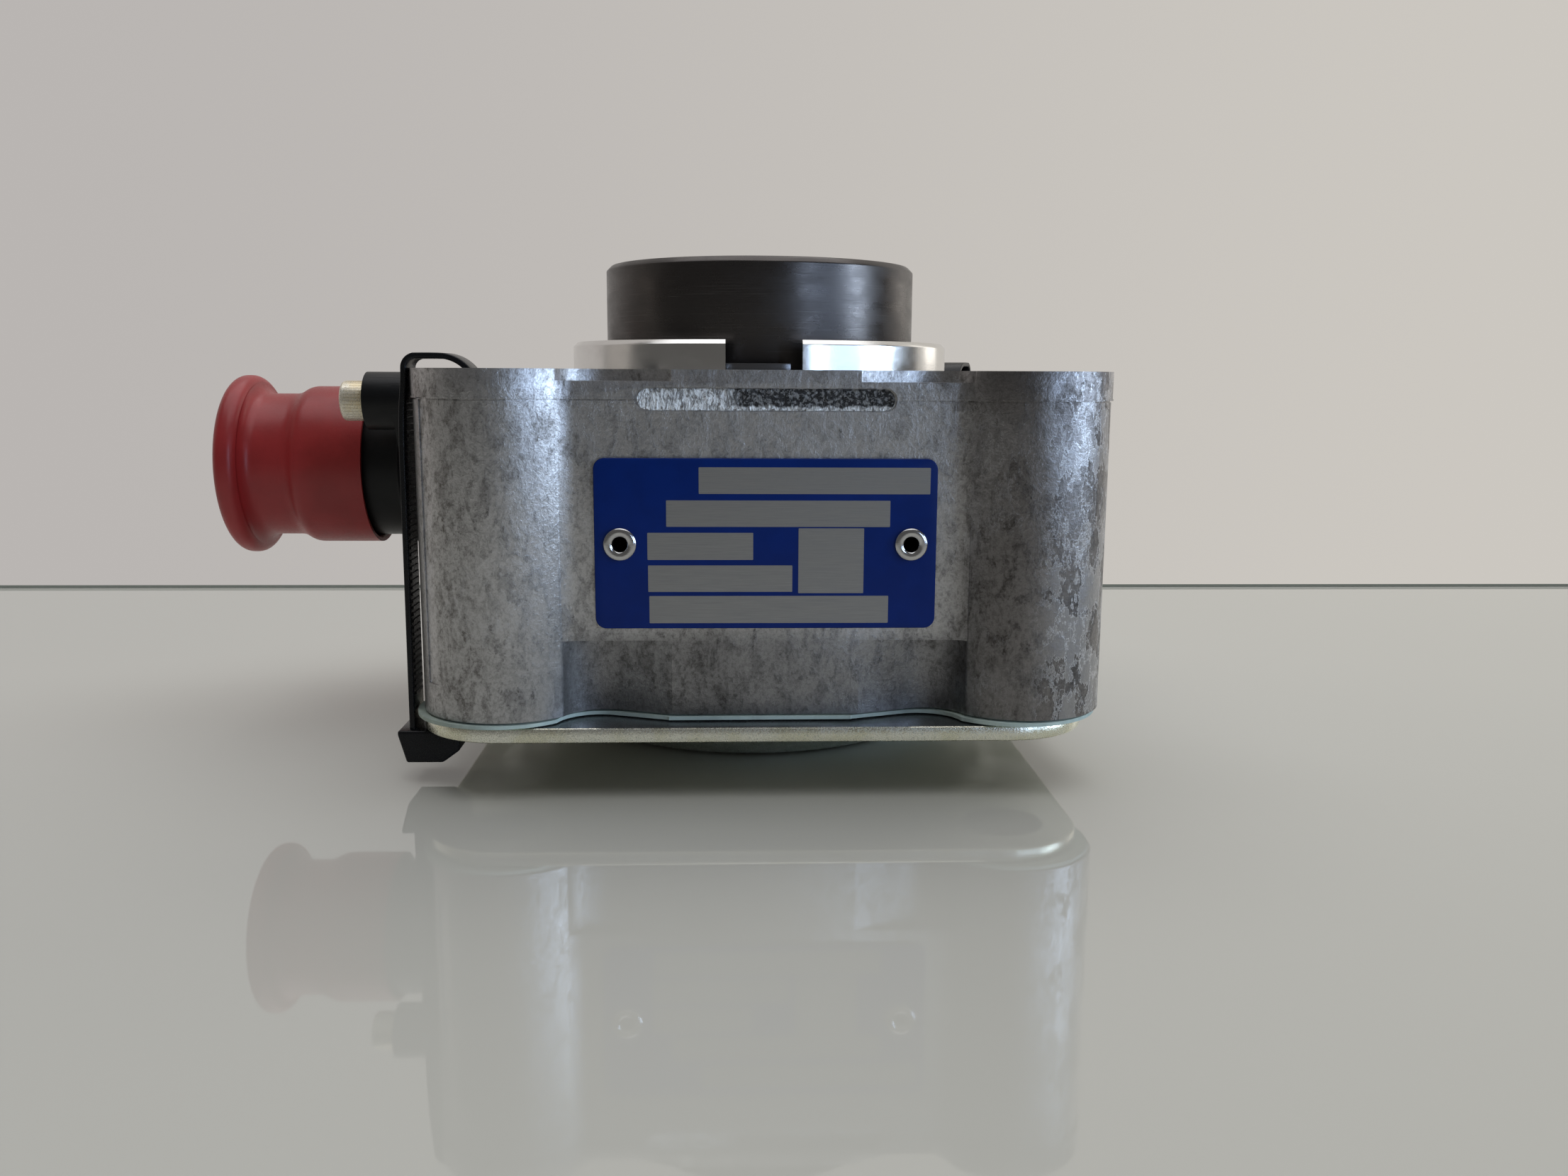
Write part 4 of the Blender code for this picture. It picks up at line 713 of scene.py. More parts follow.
def torn_metal():
    made, tree, shader = finish_named("torn metal", (0.5, 0.5, 0.5), 0.38, 0.95)
    streaks = place_in_mm(tree, (1.0, 1.0, 0.35))
    rough = grain(tree, streaks, 1.6, 6.0, 0.72, 0.8)
    place = place_in_mm(tree)
    split = node(tree, "SeparateXYZ")
    link(tree, place, split.inputs["Vector"])
    ragged = grain(tree, place_in_mm(tree, (1.0, 1.0, 0.3)), 0.4, 4.0, 0.65)
    side = maths(tree, "ADD", split.outputs["X"], maths(tree, "MULTIPLY", ragged, 16.0))
    dark_side = between(tree, side, -4.0, 3.0)
    lip = maths(tree, "ADD", split.outputs["Z"], maths(tree, "MULTIPLY", ragged, 3.0))
    deep = maths(tree, "MULTIPLY", dark_side, between(tree, lip, 86.1, 86.7))
    granules = between(tree, grain(tree, place, 1.3, 5.0, 0.7), 0.46, 0.6)
    pitted = blend_colours(tree, granules, (0.035, 0.033, 0.032), (0.24, 0.235, 0.23))
    tone = blend_colours(tree, between(tree, rough, 0.42, 0.6), (0.84, 0.84, 0.83), (0.22, 0.21, 0.2))
    link(tree, blend_colours(tree, deep, tone, pitted), shader.inputs["Base Color"])
    raise_surface(tree, shader, rough, 0.5)
    return made


cast = cast_aluminium()
milled = milled_aluminium()
turned = turned_aluminium()
blackened = dark_steel()
torn = torn_metal()
zinc = plated_sheet("zinc sheet", (0.72, 0.73, 0.66), (0.6, 0.63, 0.54), 0.3)
# Painted shade and painted highlight: a darker copy of the zinc for the cover's top flats and a brighter one
# for its rounded rim
zinc_top_painted_shade = plated_sheet("zinc sheet top painted shade", (0.3, 0.31, 0.32), (0.22, 0.235, 0.24), 0.34)
zinc_rim_painted_highlight = plated_sheet("zinc sheet rim painted highlight", (0.95, 0.94, 0.82), (0.86, 0.84, 0.66), 0.24, 0.06)
yellow_zinc = plated_sheet("yellow zinc", (0.92, 0.87, 0.74), (0.88, 0.76, 0.52), 0.3, 0.01, 0.5)
bright = ground_steel("ground steel", (0.72, 0.72, 0.73), 0.16)
machined = ground_steel("machined steel", (0.5, 0.5, 0.5), 0.28)
spring_steel = ground_steel("spring steel", (0.22, 0.22, 0.23), 0.3)
brass = ground_steel("brass", (0.7, 0.52, 0.24), 0.26)
rubber = moulded("rubber", (0.022, 0.022, 0.023), 0.72)
paper = moulded("gasket fibre", (0.55, 0.65, 0.58), 0.8, 0.8, 0.05)
black_plastic = moulded("black moulding", (0.007, 0.0075, 0.009), 0.4, 0.5, 0.012, Specular_IOR_Level=0.28)
nylon = moulded("black nylon", (0.005, 0.0055, 0.007), 0.3, 0.8, 0.008, Specular_IOR_Level=0.3)
red_plastic = moulded("red moulding", (0.42, 0.032, 0.034), 0.36, 1.4, 0.02, 0.86)
blue_print = moulded("blue print", (0.001, 0.021, 0.165), 0.34, 0.6, 0.004, 0.9, Specular_IOR_Level=0.2)
# Painted shade: near-black for the insides of the rivet holes and the rivets' bores
painted_hole_shade = moulded("painted hole shade", (0.004, 0.004, 0.004), 0.9, Specular_IOR_Level=0.1)
field = brushed_field()


# Housing

def casting_outline(grow=0.0, fine=22):
    """The housing's outline: four round columns joined by flat walls with fillets."""
    radius = column_radius + grow
    side_wall = wall + grow
    reach = radius + column_fillet
    across = side_wall + column_fillet - column
    fillet_x = column - sqrt(reach ** 2 - across ** 2)
    lean = asin(across / reach)
    side = arc(-fillet_x, -side_wall - column_fillet, column_fillet, pi / 2 + (pi / 2 - lean), pi / 2, 7)
    side = side + [(-x, y) for x, y in reversed(side)]
    sweep_start = lean - pi
    outline = []
    for quarter in range(4):
        outline += turn_points(side, quarter * pi / 2)
        corner = arc(column, -column, radius, sweep_start, sweep_start + 2 * (3 * pi / 4 - lean), 2 * fine)
        outline += turn_points(corner[1:-1], quarter * pi / 2)
    return outline


def valley_outlines():
    """The hollows in the wall beside each column, seen from above."""
    centre_y = -wall - valley_radius + valley_depth
    tip = 1.0 * mm
    tip_y = -wall - tip + 0.1 * mm
    valley = hull([(valley_centre, centre_y, valley_radius), (valley_inner_edge + tip, tip_y, tip)], 12)
    mirrored = [(-x, y) for x, y in reversed(valley)]
    return [turn_points(v, q * pi / 2) for q in range(4) for v in (valley, mirrored)]


def lug_places():
    """Each lug's place in the sensor's own drawing, whose X runs to the front and Y up."""
    return {"upper": (lug_reach, lug_height), "lower": (-lug_reach, -lug_height)}


def sensor_outline(grow):
    circles = [(0, 0, sensor_radius + grow)]
    circles += [(u, v, lug_radius + grow) for u, v in lug_places().values()]
    return hull(circles, 14)


def make_housing():
    over = 2.0 * mm
    band_low = top_z - band_height
    body = prism("housing_casting", casting_outline(), top_z - foot_z - 0.4 * mm, (0, 0, foot_z))
    band = prism("band", casting_outline(band_proud), band_height, (0, 0, band_low))
    flash = prism("flash", casting_outline(band_proud + flash_proud), flash_height, (0, 0, band_low))
    ease = 1.1 * mm
    collar = lathe("collar", soften([(0, top_z - over), (collar_radius, top_z - over),
                                     (collar_radius, collar_z - ease), (collar_radius - ease, collar_z),
                                     (0, collar_z)], 0.15 * mm, 2), 160)
    join(body, band, flash, collar)
    low = [prism("valley", v, valley_height + over, (0, 0, foot_z - over)) for v in valley_outlines()]
    high = [prism("scoop", v, valley_top_height + over, (0, 0, top_z - valley_top_height))
            for v in valley_outlines()]
    line_low = band_low - 0.3 * mm
    shadow_line = prism("shadow_line", casting_outline(2 * mm), 0.32 * mm, (0, 0, line_low))
    cut(shadow_line, prism("kept", casting_outline(-0.3 * mm), 2 * mm, (0, 0, line_low - mm)))
    cut(body, *low, *high, shadow_line)

    pad = prism("pad", sensor_outline(0.0), -sensor_face - wall + over, (-wall + over, sensor_y, sensor_z),
                "left")
    port_z = 47.5 * mm
    boss_radius = 12.0 * mm
    boss_height = 3.0 * mm
    boss_profile = [(0, -over), (boss_radius, -over), (boss_radius, boss_height), (0, boss_height)]
    boss = lathe("boss", soften(boss_profile, 0.5 * mm), 64, (0, wall, port_z), "back")
    join(body, pad, boss)

    def keeps_edge(middle, edge):
        flat = abs(edge.verts[0].co.z - edge.verts[1].co.z) < 1e-5
        at_band = abs(middle.z - band_low) < flash_height + 0.2 * mm
        at_collar = Vector((middle.x, middle.y)).length < collar_radius + 0.3 * mm
        return flat and not at_band and not at_collar
    bevel(body, 0.45 * mm, 2, 40, keeps_edge)

    clip_low = 17.9 * mm
    clip_high = 20.9 * mm
    groove = 49.0 * mm
    shoulder_z = 78.0 * mm
    seat = 80.7 * mm
    ring_seat = 92.0 * mm
    ring_seat_top = ring_seat + 2.6 * mm
    ring_seat_radius = 46.6 * mm
    mouth_z = collar_z - 0.5 * mm
    bore = [(0, foot_z - over), (cylinder_radius, foot_z - over), (cylinder_radius, clip_low),
            (groove, clip_low), (groove, clip_high), (cylinder_radius, clip_high),
            (cylinder_radius, shoulder_z), (shoulder_radius, shoulder_z), (shoulder_radius, seat),
            (collar_bore, seat), (collar_bore, ring_seat), (ring_seat_radius, ring_seat),
            (ring_seat_radius, ring_seat_top), (collar_bore, ring_seat_top),
            (collar_bore, mouth_z), (collar_bore + over, mouth_z + over), (0, collar_z + over)]
    holes = []
    mouth = 0.7 * mm
    height = top_z - foot_z
    for x, y in corners(column):
        profile = [(0, -over), (bolt_hole_radius + over + mouth, -over), (bolt_hole_radius, mouth),
                   (bolt_hole_radius, height - mouth), (bolt_hole_radius + over + mouth, height + over),
                   (0, height + over)]
        holes.append(lathe("bolt hole", profile, 64, (x, y, foot_z)))
    pump_spacing = 40.0 * mm
    pump_radius = 5.1 * mm
    pump_depth = 20 * mm
    pump_profile = [(0, -over), (pump_radius, -over), (pump_radius, pump_depth), (0, pump_depth + over)]
    for x, y in corners(pump_spacing):
        holes.append(lathe("pump hole", pump_profile, 32, (x, y, foot_z)))
    notch = box("notch", (-notch_width / 2, -collar_radius - over, top_z),
                (notch_width / 2, -collar_bore + over, collar_z + over))
    cut(body, lathe("bore", bore, 160), notch, *holes)

    reach = scar_half_length - scar_height / 2
    scar = hull([(-reach, 0, scar_height / 2), (reach, 0, scar_height / 2)], 10)
    scar_cut = prism("scar", scar, over, (0, -wall - band_proud + scar_depth, top_z - scar_drop), "front")
    rivets = [rod("rivet hole", rivet_hole, -4.0 * mm, over, 32, (x, -wall, plate_z), "front")
              for x in (-rivet_spacing / 2, rivet_spacing / 2)]
    pad_face = sensor_face + 0.3 * mm
    spigot = rod("spigot", 9.3 * mm, -13.3 * mm, over, 48, (pad_face, sensor_y, sensor_z), "left")
    screws = [rod("screw hole", 3.3 * mm, -11.0 * mm, over, 24,
                  (pad_face, sensor_y - u, sensor_z + v), "left") for u, v in lug_places().values()]
    port = rod("port", 6 * mm, -12 * mm, over, 48, (0, wall + boss_height, port_z), "back")
    cut(body, scar_cut, spigot, port, *rivets, *screws)

    recess_angle = radians(220)
    recess_length = 62 * mm
    recess_low = 24.5 * mm
    across = Vector((cos(recess_angle), sin(recess_angle)))
    aside = Vector((-across.y, across.x))
    centre = Vector((-column, -column)) + across * (column_radius - 0.35 * mm)
    half = 2.15 * mm
    outline = [centre - aside * half, centre + across * 3 * mm - aside * half,
               centre + across * 3 * mm + aside * half, centre + aside * half]
    recess = prism("recess", [tuple(p) for p in outline], recess_length, (0, 0, recess_low))
    cut(body, recess)

    mesh = body.data
    dress(body, "base", "cast_aluminium", cast, milled, turned, painted_hole_shade, stands_for=["housing"])
    for face in mesh.polygons:
        centre = face.center
        radius = sqrt(centre.x ** 2 + centre.y ** 2)
        upright = abs(face.normal.z) < 0.9
        from_rivet = Vector((abs(centre.x) - rivet_spacing / 2, centre.z - plate_z)).length
        if centre.z > top_z + 0.05 * mm or (radius < collar_bore + 1.6 * mm and centre.z > shoulder_z - mm):
            face.material_index = 2
        elif face.normal.z > 0.98 and centre.z > top_z - 0.05 * mm:
            face.material_index = 1
        elif face.normal.z < -0.98 and centre.z < foot_z + 0.05 * mm:
            face.material_index = 1
        elif radius < cylinder_radius + 2.5 * mm and upright and centre.z < shoulder_z:
            face.material_index = 2
        # Painted shade inside the rivet holes
        elif centre.y > -wall and from_rivet < 3 * mm:
            face.material_index = 3
    return body


def make_gate_scar():
    """The torn face where the gate was broken off, as a rough sheet in its recess."""
    reach = scar_half_length - 0.5 * mm
    half = scar_height / 2 - 0.2 * mm
    across = 150
    up = 22
    work = bmesh.new()
    rows = []
    for j in range(up + 1):
        v = -half + 2 * half * j / up
        limit = reach - half + sqrt(max(half ** 2 - v ** 2, 0))
        row = []
        for i in range(across + 1):
            x = -limit + 2 * limit * i / across
            at = Vector((x * 420, v * 240, 0.3))
            rough = noise.fractal(at, 0.8, 2.1, 5)
            broad = noise.noise(Vector((x * 160, v * 260, 4.0)))
            coarse = 0.3 * mm if x > -8 * mm else 0.18 * mm
            lift = coarse * rough + 0.16 * mm * broad
            edge = min(1.0, (half - abs(v)) / (0.4 * mm), (limit - abs(x)) / (0.6 * mm))
            depth = scar_depth - 0.12 * mm - max(min(lift, 0.4 * mm), -0.1 * mm) * edge
            row.append(work.verts.new((x, -wall - band_proud + depth, top_z - scar_drop + v)))
        rows.append(row)
    for low, high in zip(rows, rows[1:]):
        bridge(work, low, high, across)
    piece = finish_mesh("gate_scar", work, 60)
    wall_sheet = piece.modifiers.new("Thickness", "SOLIDIFY")
    wall_sheet.thickness = 0.1 * mm
    wall_sheet.offset = 1
    apply_modifiers(piece, 60)
    return dress(piece, "base", "cast_aluminium", torn)


# Drive ring and collar clip

def toothed(count, tip, root, tip_half, root_half):
    """A closed outline of straight-sided teeth."""
    points = []
    pitch = 2 * pi / count
    for k in range(count):
        middle = k * pitch
        for radius, lean in ((root, -root_half), (tip, -tip_half), (tip, tip_half), (root, root_half)):
            points.append((radius * cos(middle + lean), radius * sin(middle + lean)))
    return points


def make_drive_ring():
    low = ring_low.z
    flange_low = 92.3 * mm
    ring_under = flange_low + 0.6 * mm
    bore_low = ring_top - ring_bore_depth
    chamfer = 1.3 * mm
    dog_top = low + dog_length
    over = 2 * mm
    groove_low = 78.6 * mm
    groove_high = 80.4 * mm
    groove = 26.2 * mm
    ease = 0.8 * mm
    profile = [(hub_neck, low), (hub_neck, dog_top), (hub_radius, dog_top + 0.3 * mm),
               (hub_radius, groove_low), (groove, groove_low), (groove, groove_high),
               (hub_radius, groove_high), (hub_radius, flange_low), (flange_radius, flange_low),
               (flange_radius, ring_under), (ring_radius, ring_under), (ring_radius, ring_top - chamfer),
               (ring_radius - chamfer, ring_top), (ring_bore + ease, ring_top), (ring_bore, ring_top - ease),
               (ring_bore, bore_low), (spline_major + 1.5 * mm, bore_low),
               (pilot_radius, bore_low - 2.0 * mm), (pilot_radius, low)]
    ring = lathe("drive_ring", soften(profile, 0.25 * mm, 2), 160)
    pitch = pi / dog_teeth
    dog_outline = toothed(dog_teeth, dog_tip, dog_root, pitch * 0.36, pitch * 0.52)
    dogs = prism("dogs", dog_outline, dog_length, (0, 0, low))
    cut(dogs, rod("dog bore", pilot_radius + mm, low - over, dog_top + over, 96))
    join(ring, dogs)
    pitch = pi / spline_teeth
    teeth = prism("spline", toothed(spline_teeth, spline_major, spline_minor, pitch * 0.34, pitch * 0.5),
                  spline_length + over, (0, 0, bore_low - spline_length))
    cut(ring, teeth)
    return dress(ring, "drive", "dark_steel", blackened, stands_for=["drive_sleeve"])


def make_collar_clip():
    """The retaining ring, of which an end shows in the collar's notch."""
    low = 92.3 * mm
    high = 94.2 * mm
    bore = 42.7 * mm
    outer = 46.2 * mm
    end_x = 6.0 * mm
    gap = 14.0 * mm
    gap_radius = 45.0 * mm
    middle = -pi / 2 + asin((end_x + gap / 2) / gap_radius)
    half = asin(gap / 2 / gap_radius)
    start = middle + half
    finish = middle - half + 2 * pi
    outline = arc(0, 0, outer, start, finish, 120) + arc(0, 0, bore, finish, start, 120)
    clip = prism("collar_ring", outline, high - low, (0, 0, low))
    bevel(clip, 0.2 * mm, 2, 50)
    return dress(clip, "base", "spring_steel", spring_steel, stands_for=["collar_clip"])


# Cover and gasket

def cover_reach(angle):
    """How far the cover's rounded square reaches along an angle, from its own centre."""
    x, y = abs(cos(angle)), abs(sin(angle))
    inset = cover_half - cover_corner
    straight = cover_half / max(x, y)
    other = min(x, y) * straight
    if other <= inset:
        return straight
    near = inset * (x + y)
    aside = inset * abs(x - y)
    return near + sqrt(max(cover_corner ** 2 - aside ** 2, 0))


def dish_height(radius):
    """Height of the sheet's underside along the dish's radius."""
    step_z = dish_depth - dish_step_depth
    beyond = 0.2
    knots = [(0, 0), (dish_floor - 8 * mm, 0), (dish_floor, 0.5 * mm),
             (dish_step - 6 * mm, step_z - 2.6 * mm), (dish_step - 2.2 * mm, step_z - 0.25 * mm),
             (dish_step + 0.4 * mm, step_z), (dish_mouth - 3.4 * mm, step_z + 0.9 * mm),
             (dish_mouth - 0.6 * mm, dish_depth - 0.35 * mm), (dish_mouth + 1.2 * mm, dish_depth),
             (beyond, dish_depth)]
    for (r0, z0), (r1, z1) in zip(knots, knots[1:]):
        if radius <= r1:
            t = (radius - r0) / (r1 - r0)
            return z0 + (z1 - z0) * t
    return dish_depth


def make_cover():
    steps = 320
    work = bmesh.new()
    radii = [dish_mouth * 1.02 * k / 70 for k in range(1, 71)]
    smooth = []
    for radius in radii:
        near = [dish_height(max(radius + d * 0.5 * mm, 0)) for d in range(-4, 5)]
        smooth.append(sum(near) / len(near))
    edge = 0.5 * mm
    tables = {"under": [], "upper": []}
    for side, lift in (("under", 0.0), ("upper", cover_thickness)):
        centre = work.verts.new((cover_offset, 0, lift))
        tables[side].append([centre])
        for radius, height in zip(radii, smooth):
            ring = [work.verts.new((cover_offset + radius * cos(2 * pi * k / steps),
                                    radius * sin(2 * pi * k / steps), height + lift)) for k in range(steps)]
            tables[side].append(ring)
        for share in (0.25, 0.5, 0.75, 1.0):
            ring = []
            for k in range(steps):
                angle = 2 * pi * k / steps
                limit = cover_reach(angle) - edge
                radius = radii[-1] + (limit - radii[-1]) * share
                ring.append(work.verts.new((cover_offset + radius * cos(angle), radius * sin(angle),
                                            dish_depth + lift)))
            tables[side].append(ring)
    rim = []
    soft = 0.15 * mm
    rise = 0.2 * mm
    for inset, lift in ((soft, rise), (0, edge), (0, cover_thickness - edge), (soft, cover_thickness - rise)):
        ring = []
        for k in range(steps):
            angle = 2 * pi * k / steps
            radius = cover_reach(angle) - inset
            place = (cover_offset + radius * cos(angle), radius * sin(angle), dish_depth + lift)
            ring.append(work.verts.new(place))
        rim.append(ring)
    chain = tables["under"] + rim + list(reversed(tables["upper"]))
    for low, high in zip(chain, chain[1:]):
        bridge(work, low, high, steps)
    cover = finish_mesh("dished_cover", work, 40)
    over = 2 * mm
    flare = 0.35 * mm
    holes = []
    for x, y in corners(column):
        profile = [(0, -over), (cover_hole_radius + over + flare, -over), (cover_hole_radius, flare),
                   (cover_hole_radius, cover_thickness - flare),
                   (cover_hole_radius + over + flare, cover_thickness + over), (0, cover_thickness + over)]
        holes.append(lathe("hole", profile, 64, (x + cover_offset, y, dish_depth)))
    cut(cover, *holes)
    dress(cover, "base", "zinc_sheet", zinc, zinc_top_painted_shade, zinc_rim_painted_highlight, stands_for=["cover_plate"])
    # The rounded rim gets the zinc copy with a painted highlight, and the top flats get the copy with painted
    # shade
    for face in cover.data.polygons:
        x, y = face.center.x - cover_offset, face.center.y
        reach = sqrt(x ** 2 + y ** 2)
        if reach > cover_reach(atan2(y, x)) - 0.8 * edge:
            face.material_index = 2
        elif face.normal.z > 0.98 and face.center.z > cover_top - 0.1 * mm:
            face.material_index = 1
    return cover


def make_gasket():
    """The thin gasket, a little wavy where nothing presses it."""
    outline = shift_points(casting_outline(gasket_overhang), gasket_offset, 0)
    low = gasket_low.z + 0.1 * mm
    sheet = prism("flat_gasket", outline, 0.8 * mm, (0, 0, low))
    tools = [rod("bore", gasket_bore, low - mm, low + 2 * mm, 128, (gasket_offset, 0, 0))]
    for x, y in corners(column):
        tools.append(rod("hole", 9.8 * mm, low - mm, low + 2 * mm, 48, (x + gasket_offset, y, 0)))
    for valley in valley_outlines():
        tools.append(prism("valley", shift_points(valley, gasket_offset, 0), 3 * mm, (0, 0, low - mm)))
    cut(sheet, *tools)
    for vert in sheet.data.vertices:
        at = Vector((vert.co.x * 45, vert.co.y * 45, 1.7))
        vert.co.z += 0.22 * mm * noise.noise(at)
    return dress(sheet, "base", "gasket_paper", paper, stands_for=["gasket"])


# Sensor, connector cap and screws

def make_sensor():
    face = (sensor_face, sensor_y, sensor_z)
    body = prism("sensor_moulding", sensor_outline(0.0), sensor_thickness, face, "left")
    lugs = []
    for u, v in lug_places().values():
        outline = circle(u, v, lug_radius, 64)
        lugs.append(prism("lug", outline, sensor_thickness + lug_rise, face, "left"))
    join(body, *lugs)
    bevel(body, 0.7 * mm, 3, 40)
    reach = sensor_thickness + connector_length
    floor = reach - socket_depth
    spigot_end = -13.0 * mm
    spigot_radius = 9.0 * mm
    core = connector_radius - 0.3 * mm
    bead = connector_radius + 1.4 * mm
    shell = [(0, spigot_end), (spigot_radius, spigot_end), (spigot_radius, 0.5 * mm), (core, 0.5 * mm),
             (core, sensor_thickness), (bead, sensor_thickness), (bead, sensor_thickness + 2.2 * mm),
             (connector_radius, sensor_thickness + 3.4 * mm), (connector_radius, reach),
             (socket_radius, reach), (socket_radius, floor), (0, floor)]
    join(body, lathe("shell", soften(shell, 0.6 * mm, 3), 96, face, "left"))
    mouth = rod("mouth", socket_radius, floor, reach + 2 * mm, 96, face, "left")
    holes = [rod("bush hole", 5.2 * mm, -2 * mm, 30 * mm, 48,
                 (sensor_face, sensor_y - u, sensor_z + v), "left") for u, v in lug_places().values()]
    way = rod("way", 2.8 * mm, -16 * mm, 1.8 * mm, 32, face, "left")
    cut(body, mouth, way, *holes)
    return dress(body, "base", "black_plastic", black_plastic, stands_for=["sensor_body"])


def make_sensor_screws():
    head = sensor_thickness + lug_rise + 0.3 * mm
    top = head + 5.9 * mm
    radius = 4.97 * mm
    shank = 3.0 * mm
    ease = 0.5 * mm
    knurls = 36
    key_radius = 2.5 * mm / cos(pi / 6)
    key_depth = 3.2 * mm
    for name, (u, v) in lug_places().items():
        place = (sensor_face, sensor_y - u, sensor_z + v)
        profile = [(0, -10.4 * mm), (shank - 0.4 * mm, -10.4 * mm), (shank, -9.9 * mm), (shank, head),
                   (radius, head), (radius, top - ease), (radius - ease, top), (0, top)]
        screw = lathe(name + "_cap_screw", soften(profile, 0.3 * mm, 3), 96, place, "left")
        grooves = []
        for k in range(knurls):
            angle = 2 * pi * k / knurls
            outline = turn_points([(radius - 0.14 * mm, 0), (radius + 0.4 * mm, -0.22 * mm),
                                   (radius + 0.4 * mm, 0.22 * mm)], angle)
            start = (place[0] - head - ease, place[1], place[2])
            grooves.append(prism("groove", outline, 4.4 * mm, start, "left"))
        grooves = merge(*grooves)
        key = circle(0, 0, key_radius, 6)
        socket = prism("key", key, 6 * mm, (place[0] - top + key_depth, place[1], place[2]), "left")
        cut(screw, grooves, socket)
        dress(screw, "base", "zinc_screw", yellow_zinc, stands_for=[name + "_sensor_screw"])


def make_cap():
    wide = 21.0 * mm
    end = cap_low.x
    rim = cap_high.x
    length = rim - end
    cone = cap_wide_length + cap_cone_length
    flange = length - cap_flange_thickness
    outer = [(wide, 0), (wide, cap_wide_length), (cap_neck, cone), (cap_neck, flange - 0.3 * mm)]
    outer = soften(outer, 1.6 * mm, 5, closed=False)
    fillet = 3.0 * mm
    outer = outer[:-1] + arc(cap_neck + fillet, flange - fillet, fillet, pi, pi / 2, 8)
    ease = 2.6 * mm
    outer += arc(cap_flange_radius - ease, flange + ease, ease, -pi / 2, 0, 8)[1:]
    outer += arc(cap_flange_radius - ease, length - ease, ease, 0, pi / 2, 10)
    outer += [(19.0 * mm, length), (18.2 * mm, length - 0.5 * mm), (0, length - 0.5 * mm)]
    inner = [(0, length - cap_wall - 0.5 * mm), (cap_neck - cap_wall, length - cap_wall - 0.5 * mm),
             (cap_neck - cap_wall, cone), (wide - cap_wall + 0.1 * mm, cap_wide_length - 0.8 * mm),
             (wide - cap_wall + 0.1 * mm, 0.6 * mm), (wide - 0.9 * mm, 0)]
    cap = lathe("red_cap", outer + inner, 144, (rim, sensor_y, sensor_z), "left")
    return dress(cap, "cap", "red_plastic", red_plastic, stands_for=["protective_cap"])


# Name plate and rivets

def rounded_rectangle(low, high, radius, count=6):
    points = []
    places = ((high[0], high[1]), (low[0], high[1]), (low[0], low[1]), (high[0], low[1]))
    for quarter, (x, y) in enumerate(places):
        sx = -1 if x == high[0] else 1
        sy = -1 if y == high[1] else 1
        start = quarter * pi / 2
        points += arc(x + sx * radius, y + sy * radius, radius, start, (quarter + 1) * pi / 2, count)
    return points


def make_name_plate():
    low = (plate_low.x, plate_low.z)
    high = (plate_high.x, plate_high.z)
    back = plate_high.y
    thickness = back - plate_low.y
    plate = prism("blue_plate", rounded_rectangle(low, high, 2.4 * mm, 10), thickness, (0, back, 0), "front")
    holes = [rod("hole", rivet_hole, -mm, 2 * mm, 48, (x, back, plate_z), "front")
             for x in (-rivet_spacing / 2, rivet_spacing / 2)]
    bevel(plate, 0.22 * mm, 3, 50)
    cut(plate, *holes)
    dress(plate, "base", "blue_plate", blue_print, stands_for=["name_plate"])
    proud = 0.03 * mm
    pieces = []
    for left, right, down, up in plate_fields:
        corner = (left * mm, plate_z + down * mm)
        outline = rounded_rectangle(corner, (right * mm, plate_z + up * mm), 0.15 * mm, 2)
        pieces.append(prism("field", outline, 2 * proud, (0, plate_low.y + proud, 0), "front"))
    fields = merge(*pieces)
    fields.name = "plate_fields"
    dress(fields, "base", "rivet_metal", field)
    for side, name in ((-1, "left"), (1, "right")):
        make_rivet(name, side * rivet_spacing / 2, plate_z)


def make_rivet(side, x, z):
    """A hollow rivet with a rolled head."""
    outer = 3.6 * mm
    bore = 1.6 * mm
    roll = (outer - bore) / 2
    middle = (outer + bore) / 2
    profile = [(bore, -2.8 * mm), (2.3 * mm, -2.8 * mm), (2.3 * mm, 0.0)]
    profile += [(outer - 0.1 * mm, 0.0), (outer, 0.15 * mm)]
    profile += [(middle + roll * cos(a), 0.2 * mm + 0.6 * mm * sin(a))
                for a in (pi * k / 12 for k in range(1, 12))]
    profile += [(bore, 0.0)]
    rivet = lathe("hollow_rivet_" + side, profile, 72, (x, plate_low.y - 0.02 * mm, z), "front")
    dress(rivet, "base", "rivet_metal", bright, painted_hole_shade, stands_for=[side + "_rivet"])
    # Painted shade in the rivet's bore
    for face in rivet.data.polygons:
        if face.center.y > plate_low.y + 0.1 * mm:
            face.material_index = 1
    return rivet


# Cable ties

def cover_edge(angle):
    """How far the cover's rounded corner reaches from a column's axis, along an angle."""
    inset = cover_half - cover_corner - column
    centre = Vector((inset + cover_offset * (1 if cos(angle) > 0 else -1), inset))
    along = Vector((abs(cos(angle)), abs(sin(angle))))
    near = centre.dot(along)
    aside = abs(centre.x * along.y - centre.y * along.x)
    return near + sqrt(cover_corner ** 2 - aside ** 2)


def gasket_edge(angle):
    """How far the gasket's rounded corner reaches from a column's axis, along an angle."""
    aside = gasket_offset * sin(angle)
    return gasket_offset * cos(angle) + sqrt((column_radius + gasket_overhang) ** 2 - aside ** 2)


